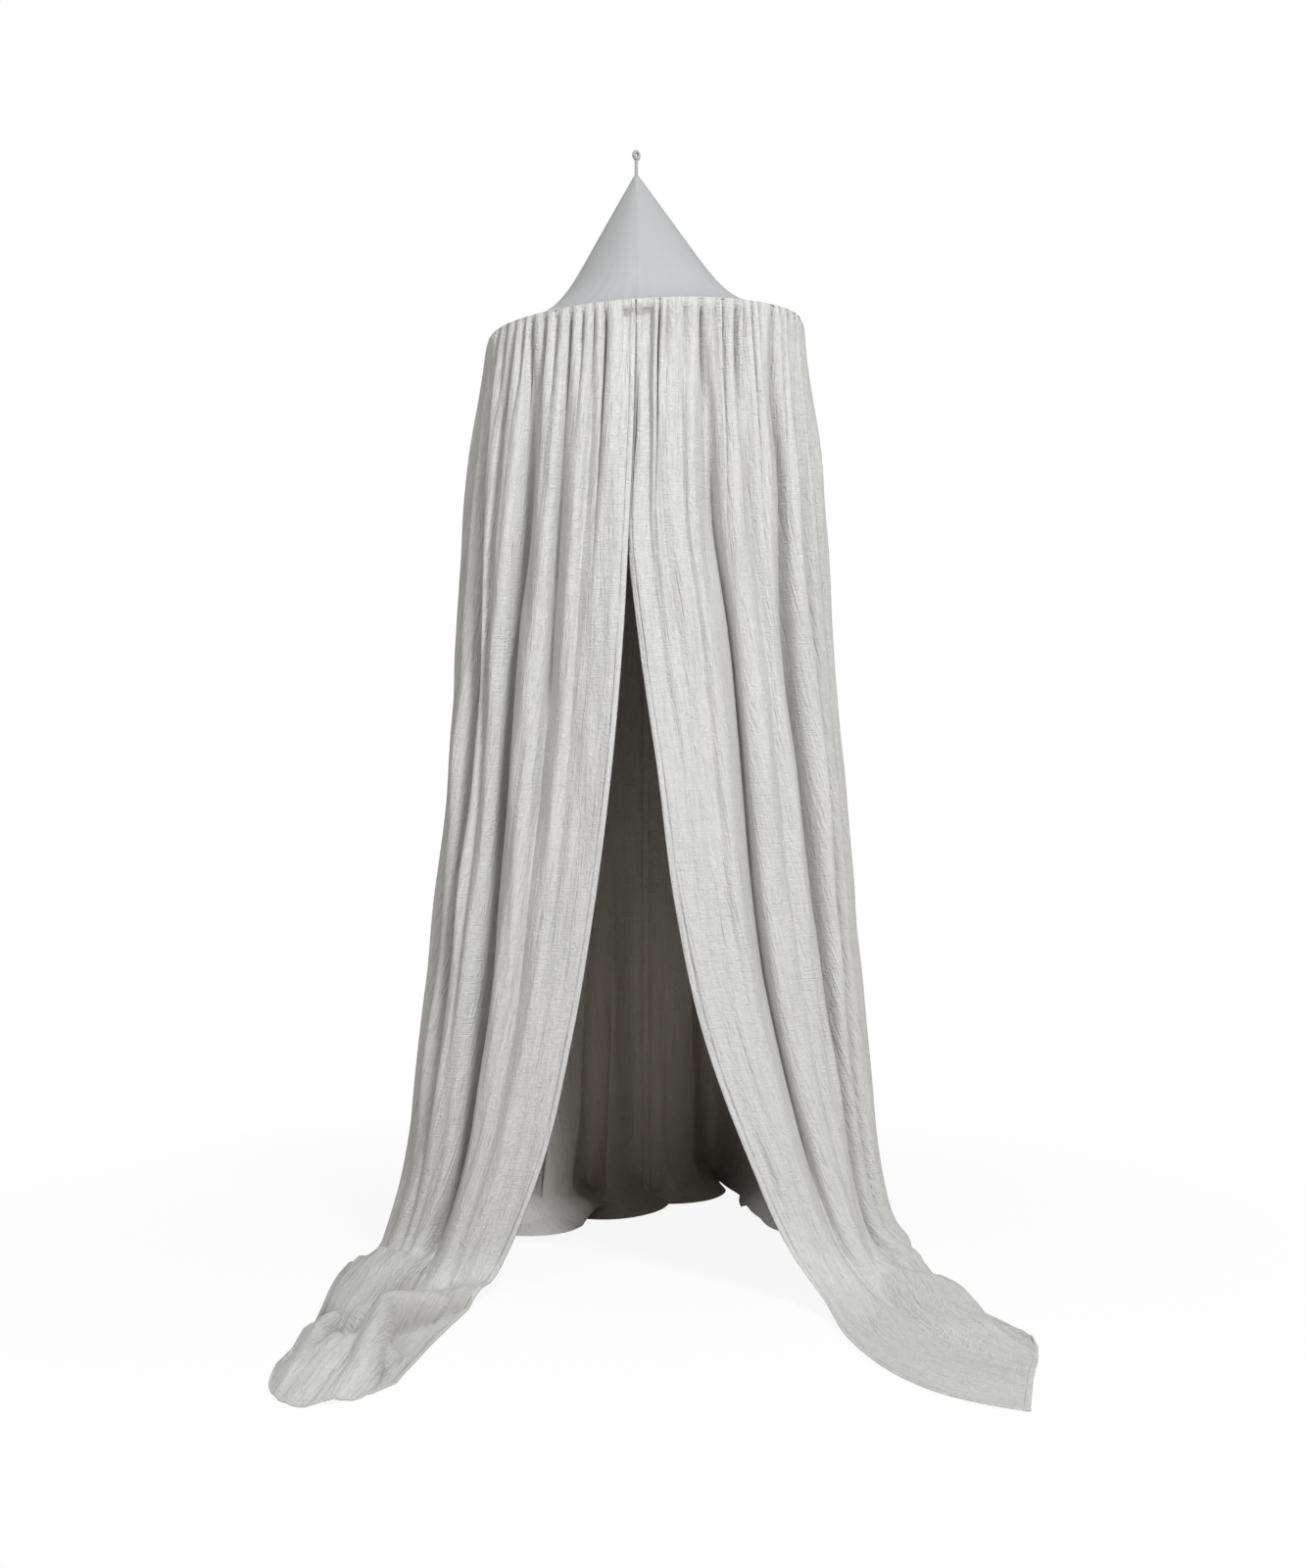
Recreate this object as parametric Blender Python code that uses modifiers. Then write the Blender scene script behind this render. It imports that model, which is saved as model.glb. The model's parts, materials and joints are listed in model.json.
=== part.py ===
"""Bed canopy, hung from one hook: a cotton cone, a plug-together hoop and gathered curtains.

Metres, +Z up. The origin is where the hook bears in the eye of the hanging loop.
The slit between the curtains faces -Y. A point of the crown is given by its azimuth
from the slit's side (-Y), its radius from the crown's axis and its height over the hoop.
"""
import math

import bmesh
import bpy
import numpy as np
from mathutils import Vector

# Fits
GAP = 0.0003                    # running gap between neighbouring pieces

# Hanging loop
CORD_DIAMETER = 0.0048
EYE_WIDTH = 0.0126              # between the centres of the eye's two legs
EYE_HEIGHT = 0.0114
EYE_TURN = math.radians(30)     # the eye's plane, turned about the neck
NECK_DIAMETER = 0.0054
NECK_LENGTH = 0.020             # free neck between the eye and the cone's tip
KNOT_DIAMETER = 0.0120
KNOT_TURNS = 3
KNOT_PITCH = 0.0036

# Cone
CONE_HEIGHT = 0.256             # tip to the hoop's seam
CONE_STRAIGHT = 0.160           # the part of the rim radius that grows evenly with depth
CONE_FLARE_POWER = 10.0         # how late the rest of the radius is gained
CONE_CLOTH = 0.0009
SEAM_RADIUS = 0.2475            # where the cone meets the curtains
PATCH_THICKNESS = 0.0015
PATCH_DIAMETER = 0.0150
TAPE_WIDTH = 0.012
TAPE_THICKNESS = 0.0008
CROWN_ROLL = math.radians(3.4)  # the hoop hangs a little low on the left
SLIT_AZIMUTH = math.radians(-3.0)

# Hoop
HOOP_INSET = 0.0090             # from the seam in to the middle of the rods
RING_STEPS = 48                 # flats in a full ring
ROD_DIAMETER = 0.0070
ROD_COUNT = 4
SLEEVE_WALL = 0.0009
SLEEVE_LENGTH = 0.050
CASING_WALL = 0.0008
CASING_MOUTH = 0.040            # gap at the back where the rods are fed in
BAND_HEIGHT = 0.012
BAND_THICKNESS = 0.0010

# Curtains
HANG_HEIGHT = 1.760             # hook to floor
CURTAIN_LENGTH = 2.05           # hoop seam to hem, along the cloth
CURTAIN_CLOTH = 0.0015
SLIT_GAP = 0.008
LANDING = {"front": 0.055, "back": 0.016}   # softness of the bend where the cloth meets the floor
SWELL = 0.013                   # how far the gathers stand out under the hoop
SWELL_DEPTH = 0.05
BACK_LEAN = 0.068               # how far the back hangs out for each metre of drop
HINGE_SIDE = 0.50               # how far each curtain's turning axis is from the hook's plumb line

# One value for the left curtain and one for the right
SIDES = {"left": -1.0, "right": 1.0}
EDGE_DEPTH = {"left": 0.217, "right": 0.264}

# Lengths of cloth below the hoop, and how far out the free edges and the sides hang there
EDGE_KNOTS = (0.0, 0.20, 0.34, 0.50, 0.70, 0.90, 1.10, 1.28, 1.38, 1.47)
EDGE_LINE = {
    "left": (-0.005, -0.005, -0.0115, -0.0197, -0.0368, -0.0625, -0.0968, -0.139, -0.176, -0.218),
    "right": (0.005, 0.005, -0.006, 0.0045, 0.0335, 0.0595, 0.1045, 0.172, 0.2145, 0.267),
}
SIDE_KNOTS = (0.0, 0.09, 0.25, 0.56, 0.87, 1.03, 1.18, 1.34, 1.40, 1.47)
SIDE_LINE = (0.2475, 0.2570, 0.2750, 0.2980, 0.3230, 0.3350, 0.3480, 0.3640, 0.3750, 0.4020)

# Where the foot of each back curtain stands in or out: its share, how far, and over what width
BACK_PULLS = {
    "left": [(0.855, -0.165, 0.040), (0.945, -0.075, 0.022), (1.0, 0.051, 0.030)],
    "right": [(0.785, -0.160, 0.030), (0.895, 0.270, 0.045), (1.0, 0.050, 0.030)],
}

# Where the hem lies on the floor, and the point each line of the cloth bends towards:
# from the free edge to the side seam, then from the side seam to the back seam
FRONT_HEM = {
    "left": [(-0.297, -0.700), (-0.350, -0.785), (-0.430, -0.785), (-0.460, -0.620),
             (-0.452, -0.330), (-0.440, -0.030)],
    "right": [(0.480, -0.822), (0.508, -0.690), (0.535, -0.575), (0.545, -0.440),
              (0.500, -0.230), (0.462, -0.030)],
}
FRONT_BEND = {
    "left": [(-0.262, -0.450), (-0.305, -0.500), (-0.370, -0.480), (-0.420, -0.360),
             (-0.432, -0.180), (-0.424, -0.010)],
    "right": [(0.285, -0.735), (0.360, -0.590), (0.440, -0.440), (0.480, -0.310),
              (0.462, -0.150), (0.440, -0.010)],
}
BACK_HEM = {
    "left": [(-0.440, -0.030), (-0.428, 0.120), (-0.395, 0.270), (-0.240, 0.480), (0, 0.580)],
    "right": [(0.462, -0.030), (0.448, 0.100), (0.420, 0.280), (0.240, 0.640), (0, 0.580)],
}
BACK_BEND = {
    "left": [(-0.424, -0.010), (-0.420, 0.100), (-0.370, 0.280), (-0.220, 0.400), (0, 0.500)],
    "right": [(0.440, -0.010), (0.430, 0.100), (0.370, 0.280), (0.200, 0.630), (0, 0.500)],
}

# Folds: the shares of each valley at the hoop, at mid height and at the hem, then its depth
# in mm at the lengths of FOLD_KNOTS after the first, where it starts. A negative one is a ridge.
FOLD_WIDTH = 0.017              # from a valley's line to its shoulder, as a share
WIDEST_STEP = 0.048             # between two columns of the mesh, as a share
LINE_KNOTS = (0.0, 0.75, 2.05)
FOLD_KNOTS = (0.02, 0.30, 0.75, 1.25, 1.58, 2.05)
FOLDS = {
    "left": [
        ((0.125, 0.126, 0.130), (34, 36, 20, 7, 3)),
        ((0.212, 0.218, 0.196), (50, 68, 54, 24, 4)),
        ((0.285, 0.280, 0.260), (20, 18, 16, 12, 8)),
        ((0.357, 0.333, 0.292), (46, 64, 52, 20, 4)),
        ((0.430, 0.420, 0.390), (30, 44, 36, 12, 4)),
        ((0.500, 0.500, 0.500), (30, 46, 34, 10, 5)),
        ((0.600, 0.600, 0.600), (28, 42, 32, 18, 10)),
        ((0.690, 0.690, 0.690), (26, 44, 34, 18, 10)),
        ((0.780, 0.785, 0.780), (26, 42, 34, 16, 10)),
        ((0.880, 0.885, 0.880), (26, 42, 32, 16, 10)),
    ],
    "right": [
        ((0.129, 0.142, 0.150), (44, 58, 38, 6, 2)),
        ((0.200, 0.216, 0.214), (20, 12, 8, 2, 1)),
        ((0.281, 0.295, 0.280), (54, 72, 64, 46, 12)),
        ((0.360, 0.367, 0.350), (26, 38, 28, 14, 8)),
        ((0.430, 0.440, 0.440), (30, 46, 36, 14, 5)),
        ((0.500, 0.500, 0.500), (28, 44, 30, 10, 5)),
        ((0.610, 0.610, 0.610), (28, 44, 32, 18, 10)),
        ((0.700, 0.700, 0.700), (24, 42, 32, 18, 10)),
        ((0.790, 0.785, 0.790), (24, 36, 32, 16, 10)),
        ((0.870, 0.855, 0.850), (-20, -46, -46, -16, -4)),
        ((0.930, 0.930, 0.930), (18, 28, 24, 12, 6)),
    ],
}

# Worked out from the sizes above
TIP_HEIGHT = -EYE_HEIGHT - NECK_LENGTH
SHAFT_RADIUS = NECK_DIAMETER / 2
HOLE_RADIUS = SHAFT_RADIUS + 2 * GAP
HOOP_RADIUS = SEAM_RADIUS - HOOP_INSET
FACET = HOOP_RADIUS * (1 - math.cos(math.pi / RING_STEPS))      # how far a ring's flats cut inwards
SLEEVE_RADIUS = ROD_DIAMETER / 2 + GAP + SLEEVE_WALL
CASING_RADIUS = SLEEVE_RADIUS + FACET + GAP + CASING_WALL
BAND_RADIUS = HOOP_RADIUS + CASING_RADIUS + FACET + GAP + BAND_THICKNESS
FLOOR = -HANG_HEIGHT
LAID_HEIGHT = FLOOR + CURTAIN_CLOTH / 2
CURTAIN_FACET = BAND_RADIUS * (1 - math.cos(math.pi * WIDEST_STEP / 2))
SEAM_SHARE = (GAP + CURTAIN_CLOTH) / 2 / (math.pi * SEAM_RADIUS)    # a seam's half gap


def cone_radius(depth):
    """Radius of the cone's cloth at a depth below its tip: an even growth, then a late flare."""
    share = depth / CONE_HEIGHT
    flare = SEAM_RADIUS - CONE_STRAIGHT
    return CONE_STRAIGHT * share + flare * share ** CONE_FLARE_POWER


def cone_slope(depth):
    """Growth of the cone's radius for each metre of depth."""
    share = depth / CONE_HEIGHT
    flare = SEAM_RADIUS - CONE_STRAIGHT
    return (CONE_STRAIGHT + flare * CONE_FLARE_POWER * share ** (CONE_FLARE_POWER - 1)) / CONE_HEIGHT


def cone_depth(radius):
    """Depth at which the cone's upper, even part reaches a radius."""
    return radius / CONE_STRAIGHT * CONE_HEIGHT


RIM_LEAN = math.atan(1 / cone_slope(CONE_HEIGHT))
PATCH_DEPTH = cone_depth(PATCH_DIAMETER / 2 + GAP + CONE_CLOTH)
PIVOT_HEIGHT = TIP_HEIGHT - PATCH_DEPTH / 2
HOOP_DEPTH = CONE_HEIGHT - PATCH_DEPTH / 2      # crown frame: pivot down to the seam


def under_rim(radius, thickness=0.0):
    """Height just under the cone's flared rim at a radius, for a piece of some radius of its own."""
    clear = (thickness + GAP + CONE_CLOTH / 2) / math.cos(RIM_LEAN) + FACET * math.tan(RIM_LEAN)
    return -HOOP_DEPTH + math.tan(RIM_LEAN) * (SEAM_RADIUS - radius) - clear


CASING_HEIGHT = under_rim(HOOP_RADIUS, CASING_RADIUS)
BAND_TOP = under_rim(BAND_RADIUS)
DROP = HANG_HEIGHT + PIVOT_HEIGHT - HOOP_DEPTH  # hoop seam to floor

COLORS = {
    "cotton_gauze": (0.66, 0.64, 0.61),
    "cotton_plain": (0.58, 0.58, 0.58),
    "cord": (0.45, 0.45, 0.47),
    "tape": (0.60, 0.58, 0.55),
    "hoop_plastic": (0.80, 0.80, 0.78),
    "sleeve_plastic": (0.55, 0.55, 0.55),
}


def clear_scene():
    for old in list(bpy.data.objects):
        bpy.data.objects.remove(old, do_unlink=True)


def make_collection(name):
    group = bpy.data.collections.new(name)
    bpy.context.scene.collection.children.link(group)
    return group


def make_material(name, color, roughness=0.9):
    """A plain finish for one kind of cloth, cord or plastic."""
    material = bpy.data.materials.new(name)
    material.use_nodes = True
    shader = material.node_tree.nodes["Principled BSDF"]
    shader.inputs["Base Color"].default_value = (*color, 1.0)
    shader.inputs["Roughness"].default_value = roughness
    shader.inputs["Metallic"].default_value = 0.0
    return material


def add_object(name, data, material, parent=None):
    """Link a mesh or curve into the canopy's collection under its parent empty."""
    thing = bpy.data.objects.new(name, data)
    PARTS.objects.link(thing)
    data.materials.append(MATERIALS[material])
    thing.parent = parent
    return thing


def add_empty(name, location=(0, 0, 0), rotation=(0, 0, 0), parent=None):
    empty = bpy.data.objects.new(name, None)
    empty.location = location
    empty.rotation_euler = rotation
    empty.parent = parent
    PARTS.objects.link(empty)
    return empty


def thicken(thing, thickness):
    """Give an open sheet its wall, half to each side."""
    wall = thing.modifiers.new("wall", "SOLIDIFY")
    wall.thickness = thickness
    wall.offset = 0.0


def add_sheet(name, points, thickness, material, parent=None):
    """Loft a sheet of cloth through a grid of points, rows by columns, and thicken it."""
    rows, columns = points.shape[:2]
    index = np.arange(rows * columns).reshape(rows, columns)
    corners = (index[:-1, :-1], index[1:, :-1], index[1:, 1:], index[:-1, 1:])
    faces = np.stack(corners, axis=-1).reshape(-1, 4)
    mesh = bpy.data.meshes.new(name)
    mesh.from_pydata(points.reshape(-1, 3).tolist(), [], faces.tolist())
    mesh.shade_smooth()
    thing = add_object(name, mesh, material, parent)
    thicken(thing, thickness)
    return thing


def add_turned(name, profile, closed, material, parent=None, steps=32, start=0.0, sweep=math.tau):
    """Turn a profile of (radius, height) points about Z, from one azimuth through a sweep."""
    mesh = bpy.data.meshes.new(name)
    count = len(profile)
    edges = [(i, (i + 1) % count) for i in range(count if closed else count - 1)]
    mesh.from_pydata([(radius, 0.0, height) for radius, height in profile], edges, [])
    thing = add_object(name, mesh, material, parent)
    thing.rotation_euler = (0, 0, start)
    turn = thing.modifiers.new("turn", "SCREW")
    turn.axis = "Z"
    turn.angle = sweep
    turn.steps = steps
    turn.render_steps = steps
    turn.use_smooth_shade = True
    turn.use_merge_vertices = abs(sweep - math.tau) < 1e-6
    turn.merge_threshold = 0.00005
    return thing


def add_tube(name, points, diameter, material, parent=None, resolution=2, cyclic=False):
    """Sweep a round rod or cord along a line of points."""
    curve = bpy.data.curves.new(name, "CURVE")
    curve.dimensions = "3D"
    curve.bevel_depth = diameter / 2
    curve.bevel_resolution = resolution
    curve.use_fill_caps = True
    spline = curve.splines.new("POLY")
    spline.points.add(len(points) - 1)
    for point, place in zip(spline.points, points):
        point.co = (*place, 1.0)
    spline.use_cyclic_u = cyclic
    spline.use_smooth = True
    return add_object(name, curve, material, parent)


def freeze(thing):
    """Swap a curve for its mesh, with the caps welded on."""
    depsgraph = bpy.context.evaluated_depsgraph_get()
    mesh = bpy.data.meshes.new_from_object(thing.evaluated_get(depsgraph))
    shape = bmesh.new()
    shape.from_mesh(mesh)
    bmesh.ops.remove_doubles(shape, verts=shape.verts, dist=0.00001)
    shape.to_mesh(mesh)
    shape.free()
    name, place = thing.name, thing.matrix_world.copy()
    bpy.data.objects.remove(thing)
    solid = bpy.data.objects.new(name, mesh)
    solid.matrix_world = place
    PARTS.objects.link(solid)
    return solid


def join_solid(base, tool):
    """Unite a helper solid with its base and put the helper away as a hidden guide."""
    union = base.modifiers.new("join_" + tool.name, "BOOLEAN")
    union.operation = "UNION"
    union.solver = "EXACT"
    union.object = tool
    PARTS.objects.unlink(tool)
    CUTTERS.objects.link(tool)
    tool.hide_render = True
    tool.display_type = "WIRE"


def arc(radius, height, start, end, count):
    """Points along a level arc of the crown."""
    angles = np.linspace(start, end, count)
    level = np.full(count, height)
    return np.stack([radius * np.sin(angles), -radius * np.cos(angles), level], axis=-1)


def circle(radius, center_radius, center_height, sides):
    """A closed round profile, run so that its turned skin faces outwards."""
    angles = -np.arange(sides) * math.tau / sides
    return [(center_radius + radius * math.cos(a), center_height + radius * math.sin(a)) for a in angles]


def make_hanging_loop():
    """Cord loop: an oval eye, a neck of its two sewn legs and the barrel knot under the cone."""
    angles = np.linspace(0, math.tau, 20, endpoint=False)
    across = EYE_WIDTH / 2 * np.cos(angles)
    up = EYE_HEIGHT / 2 * (np.sin(angles) - 1) + CORD_DIAMETER / 2
    turned = [(x * math.cos(EYE_TURN), x * math.sin(EYE_TURN), z) for x, z in zip(across, up)]
    loop = freeze(add_tube("hanging_loop", turned, CORD_DIAMETER, "cord", cyclic=True))
    knot_top = TIP_HEIGHT - PATCH_DEPTH - PATCH_THICKNESS / 2 - GAP
    knot_length = KNOT_PITCH * (KNOT_TURNS + 1)
    neck_top = CORD_DIAMETER / 2 - EYE_HEIGHT
    neck_profile = [(0, neck_top), (SHAFT_RADIUS, neck_top),
                    (SHAFT_RADIUS, knot_top - KNOT_PITCH), (0, knot_top - KNOT_PITCH)]
    neck = add_turned("loop_neck", neck_profile, False, "cord", steps=12)
    wraps = KNOT_TURNS * 4
    fall = [knot_length * i / wraps for i in range(wraps + 1)]
    bulge = [KNOT_DIAMETER / 2 * (0.80 + 0.20 * abs(math.sin(math.pi * KNOT_TURNS * f / knot_length)))
             for f in fall]
    bulge[0] = bulge[-1] = KNOT_DIAMETER / 2 * 0.55
    knot_profile = [(0, knot_top)]
    knot_profile += [(radius, knot_top - f) for radius, f in zip(bulge, fall)]
    knot_profile += [(0, knot_top - knot_length)]
    knot = add_turned("loop_knot", knot_profile, False, "cord", steps=12)
    for helper in (neck, knot):
        join_solid(loop, helper)
    loop.data.materials.clear()
    loop.data.materials.append(MATERIALS["cord"])
    return loop


def make_apex_patch(crown):
    """Round patch inside the tip that the cone rests on and the knot bears on."""
    half = PATCH_THICKNESS / 2
    middle = -PATCH_DEPTH / 2
    rim = PATCH_DIAMETER / 2 - half * cone_slope(PATCH_DEPTH)
    profile = [(HOLE_RADIUS, middle + half), (rim, middle + half), (rim, middle - half),
               (HOLE_RADIUS, middle - half)]
    return add_turned("apex_patch", profile, True, "tape", crown, steps=20)


def cone_point(depth, azimuth, inset=0.0):
    """A point of the cone in the crown's frame, set in along the cloth's own normal."""
    lean = np.arctan(cone_slope(depth))
    radius = cone_radius(depth) - inset * np.cos(lean)
    height = PATCH_DEPTH / 2 - depth - inset * np.sin(lean)
    return np.stack([radius * np.sin(azimuth), -radius * np.cos(azimuth), height], axis=-1)


def cone_depths(count=12):
    """Depths down the cone from its tip hole to the rim, closer together towards the flare."""
    first = cone_depth(HOLE_RADIUS + CONE_CLOTH)
    share = np.linspace(0, 1, count)
    return first + (CONE_HEIGHT - first) * (1 - (1 - share) ** 1.6)


def tape_half_angle(depth):
    """Angle from a cone seam to the edge of the tape that covers it."""
    return np.minimum(TAPE_WIDTH / 2 / cone_radius(depth), 0.9)


def make_cone_gore(name, side, crown):
    """One half of the cone, from the front seam round to the back seam."""
    depth = cone_depths()
    trim = np.arcsin(GAP / cone_radius(depth))[:, None]
    under_tape = tape_half_angle(depth)[:, None]
    inner = under_tape + (math.pi - 2 * under_tape) * np.linspace(0, 1, RING_STEPS // 2)[None, :]
    angles = np.hstack([trim, inner, math.pi - trim])
    azimuth = SLIT_AZIMUTH + side * angles
    return add_sheet(name, cone_point(depth[:, None] + 0 * azimuth, azimuth), CONE_CLOTH,
                     "cotton_plain", crown)


def make_cone_tape(name, azimuth, crown):
    """Narrow tape that covers a cone seam inside, from below the knot down to the hoop's casing."""
    knot_end = PATCH_DEPTH + PATCH_THICKNESS + KNOT_PITCH * (KNOT_TURNS + 1)
    depth = cone_depths()
    depth = depth[(depth > knot_end) & (depth < CONE_HEIGHT - CASING_RADIUS)][:, None]
    angles = azimuth + tape_half_angle(depth) * np.linspace(-1, 1, 3)[None, :]
    inset = CONE_CLOTH / 2 + GAP + TAPE_THICKNESS / 2
    points = cone_point(depth + 0 * angles, angles, inset)
    return add_sheet(name, points, TAPE_THICKNESS, "tape", crown)


def make_hoop(crown):
    """Four rods end to end in a ring, each joint held in a sleeve."""
    span = math.tau / ROD_COUNT
    end_gap = GAP / HOOP_RADIUS
    for number in range(ROD_COUNT):
        start = span * (number + 0.5)
        rod = arc(HOOP_RADIUS, CASING_HEIGHT, start + end_gap / 2, start + span - end_gap / 2,
                  2 * RING_STEPS // ROD_COUNT + 1)
        add_tube("hoop_rod_%d" % (number + 1), rod, ROD_DIAMETER, "hoop_plastic", crown)
    sleeve_span = SLEEVE_LENGTH / HOOP_RADIUS
    bore = ROD_DIAMETER / 2 + GAP
    for number in range(ROD_COUNT):
        start = span * (number + 0.5) - sleeve_span / 2
        profile = circle(bore + SLEEVE_WALL / 2, HOOP_RADIUS, CASING_HEIGHT, 10)
        sleeve = add_turned("hoop_sleeve_%d" % (number + 1), profile, True, "sleeve_plastic", crown,
                            steps=4, start=start - math.pi / 2, sweep=sleeve_span)
        thicken(sleeve, SLEEVE_WALL)


def make_casing(crown):
    """Cloth tunnel round the hoop, open at the back where the rods are fed in."""
    mouth = CASING_MOUTH / HOOP_RADIUS
    profile = circle(CASING_RADIUS - CASING_WALL / 2, HOOP_RADIUS, CASING_HEIGHT, 8)
    casing = add_turned("hoop_casing", profile, True, "cotton_plain", crown, steps=RING_STEPS,
                        start=math.pi / 2 + mouth / 2, sweep=math.tau - mouth)
    thicken(casing, CASING_WALL)
    return casing


def make_gather_band(crown):
    """Flat tape round the casing that the gathered curtains are stitched to."""
    inner = BAND_RADIUS - BAND_THICKNESS
    foot = BAND_TOP - BAND_HEIGHT
    profile = [(BAND_RADIUS, BAND_TOP), (BAND_RADIUS, foot), (inner, foot), (inner, BAND_TOP)]
    return add_turned("gather_band", profile, True, "tape", crown, steps=RING_STEPS)


def spline(guides, share):
    """A smooth line through evenly spaced guide points, read at shares from 0 to 1."""
    guides = np.asarray(guides, dtype=float)
    padded = np.vstack([2 * guides[0] - guides[1], guides, 2 * guides[-1] - guides[-2]])
    place = np.clip(share, 0, 1) * (len(guides) - 1)
    step = np.minimum(place.astype(int), len(guides) - 2)
    t = (place - step)[..., None]
    before, start, end, after = (padded[step + i] for i in range(4))
    return 0.5 * (2 * start + (end - before) * t
                  + (2 * before - 5 * start + 4 * end - after) * t ** 2
                  + (3 * (start - end) + after - before) * t ** 3)


def hoop_point(azimuth, radius):
    """World place of a point at the foot of the cone's rim, on the rolled crown."""
    height = BAND_TOP
    x = radius * np.sin(azimuth)
    roll = -CROWN_ROLL
    world_x = x * math.cos(roll) + height * math.sin(roll)
    world_z = -x * math.sin(roll) + height * math.cos(roll) + PIVOT_HEIGHT
    return world_x, -radius * np.cos(azimuth), world_z


def outline(which, share, length):
    """Level outline of one half curtain, from its free edge round to the back seam.

    share runs 0 at the free edge, 0.5 at the side seam and 1 at the back; length is the
    cloth that has hung down. The free edge is drawn aside as the cloth falls, the sides
    lean out, and the foot of the back stands in and out.
    """
    fall = length / DROP
    edge_x = np.interp(length, EDGE_KNOTS, EDGE_LINE[which])
    side_x = SIDES[which] * np.interp(length, SIDE_KNOTS, SIDE_LINE)
    edge_y = SEAM_RADIUS + (EDGE_DEPTH[which] - SEAM_RADIUS) * fall ** 2
    back_y = SEAM_RADIUS + BACK_LEAN * length
    pull = sum(far * np.exp(-((share - at) / width) ** 2) for at, far, width in BACK_PULLS[which])
    turn_x = np.sin(math.pi * share)
    turn_y = -np.cos(math.pi * share)
    in_front = share < 0.5
    x = np.where(in_front, edge_x + (side_x - edge_x) * turn_x, side_x * turn_x)
    y = np.where(in_front, edge_y * turn_y, back_y * turn_y + pull * fall ** 3)
    return x, y


def floor_path(which, share):
    """Where the cloth bends towards on the floor, and where its hem lies."""
    front = np.clip(share * 2, 0, 1)
    back = np.clip(share * 2 - 1, 0, 1)
    in_front = (share < 0.5)[..., None]
    bend = np.where(in_front, spline(FRONT_BEND[which], front), spline(BACK_BEND[which], back))
    hem = np.where(in_front, spline(FRONT_HEM[which], front), spline(BACK_HEM[which], back))
    return bend, hem


def curtain_base(which, share, length):
    """Smooth form of a half curtain without its folds: hanging, then laid on the floor."""
    side = SIDES[which]
    start = SLIT_AZIMUTH + side * SLIT_GAP / 2 / SEAM_RADIUS
    sweep = math.pi - side * SLIT_AZIMUTH - SLIT_GAP / 2 / SEAM_RADIUS
    azimuth = start + side * sweep * share
    seat = BAND_RADIUS + CURTAIN_FACET + GAP + CURTAIN_CLOTH / 2
    top_x, top_y, top_z = hoop_point(azimuth, seat)
    drop = top_z - LAID_HEIGHT
    landing = LANDING["back"] + (LANDING["front"] - LANDING["back"]) * np.exp(-(share / 0.5) ** 4)
    left_to_fall = landing * np.log1p(np.exp((drop - length) / landing))
    fallen = np.clip(1 - left_to_fall / drop, 0, 1) * DROP
    laid = np.clip((length - drop + left_to_fall) / (CURTAIN_LENGTH - drop), 0, 1)
    x, y = outline(which, share, fallen)
    x_start, y_start = outline(which, share, 0 * fallen)
    x = top_x + (x - x_start)
    y = top_y + (y - y_start)
    land_x, land_y = outline(which, share, 0 * fallen + DROP)
    land_x = top_x + land_x - x_start
    land_y = top_y + land_y - y_start
    bend, hem = floor_path(which, share)
    x = x + 2 * laid * (1 - laid) * (bend[..., 0] - land_x) + laid ** 2 * (hem[..., 0] - land_x)
    y = y + 2 * laid * (1 - laid) * (bend[..., 1] - land_y) + laid ** 2 * (hem[..., 1] - land_y)
    z = LAID_HEIGHT + left_to_fall
    return np.stack([x, y, z], axis=-1), laid


def fold_relief(which, share, length):
    """How far the folds set the cloth in or out, and how high they stand when it lies down."""
    offset = SWELL * (1 - np.exp(-length / SWELL_DEPTH)) + 0 * share
    lift = 0 * share
    for line, depths in FOLDS[which]:
        across = (share - np.interp(length, LINE_KNOTS, line)) / FOLD_WIDTH
        depth = np.interp(length, FOLD_KNOTS, (0, *depths)) / 1000
        offset -= depth * np.exp(-np.abs(across) ** 1.35)
        lift = np.maximum(lift, np.abs(depth) * np.exp(-(across / 4.5) ** 2))
    return offset * (1 - np.exp(-((1 - share) / 0.012) ** 2)), lift


def curtain(which, share, length):
    """Folded cloth: the base form pushed in and out along its normal, never below the floor."""
    step = 0.002
    base, laid = curtain_base(which, share, length)
    ahead = curtain_base(which, np.clip(share + step, 0, 1), length)[0]
    behind = curtain_base(which, np.clip(share - step, 0, 1), length)[0]
    along = ahead - behind
    flat = np.hypot(along[..., 0], along[..., 1])
    side = SIDES[which]
    outward = np.stack([side * along[..., 1], -side * along[..., 0], 0 * flat], axis=-1)
    outward /= np.maximum(flat, 1e-9)[..., None]
    lay_over = (math.pi / 2 * np.clip(laid * 4, 0, 1))[..., None]
    direction = outward * np.cos(lay_over) + np.array([0, 0, 1.0]) * np.sin(lay_over)
    offset, lift = fold_relief(which, share, length)
    points = base + direction * offset[..., None]
    points[..., 2] += lift * np.sin(lay_over[..., 0])
    points[..., 2] = np.maximum(points[..., 2], LAID_HEIGHT)
    return points


def curtain_rows():
    """Lengths of cloth below the hoop: the hanging rows, then those that turn onto the floor."""
    hanging = np.concatenate([[0, 0.03, 0.10, 0.20, 0.34], np.linspace(0.50, DROP - 0.16, 5), [DROP - 0.07]])
    landing = DROP + np.array([-0.02, 0.03, 0.09])
    return hanging, np.concatenate([landing, np.linspace(DROP + 0.20, CURTAIN_LENGTH, 4)])


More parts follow.
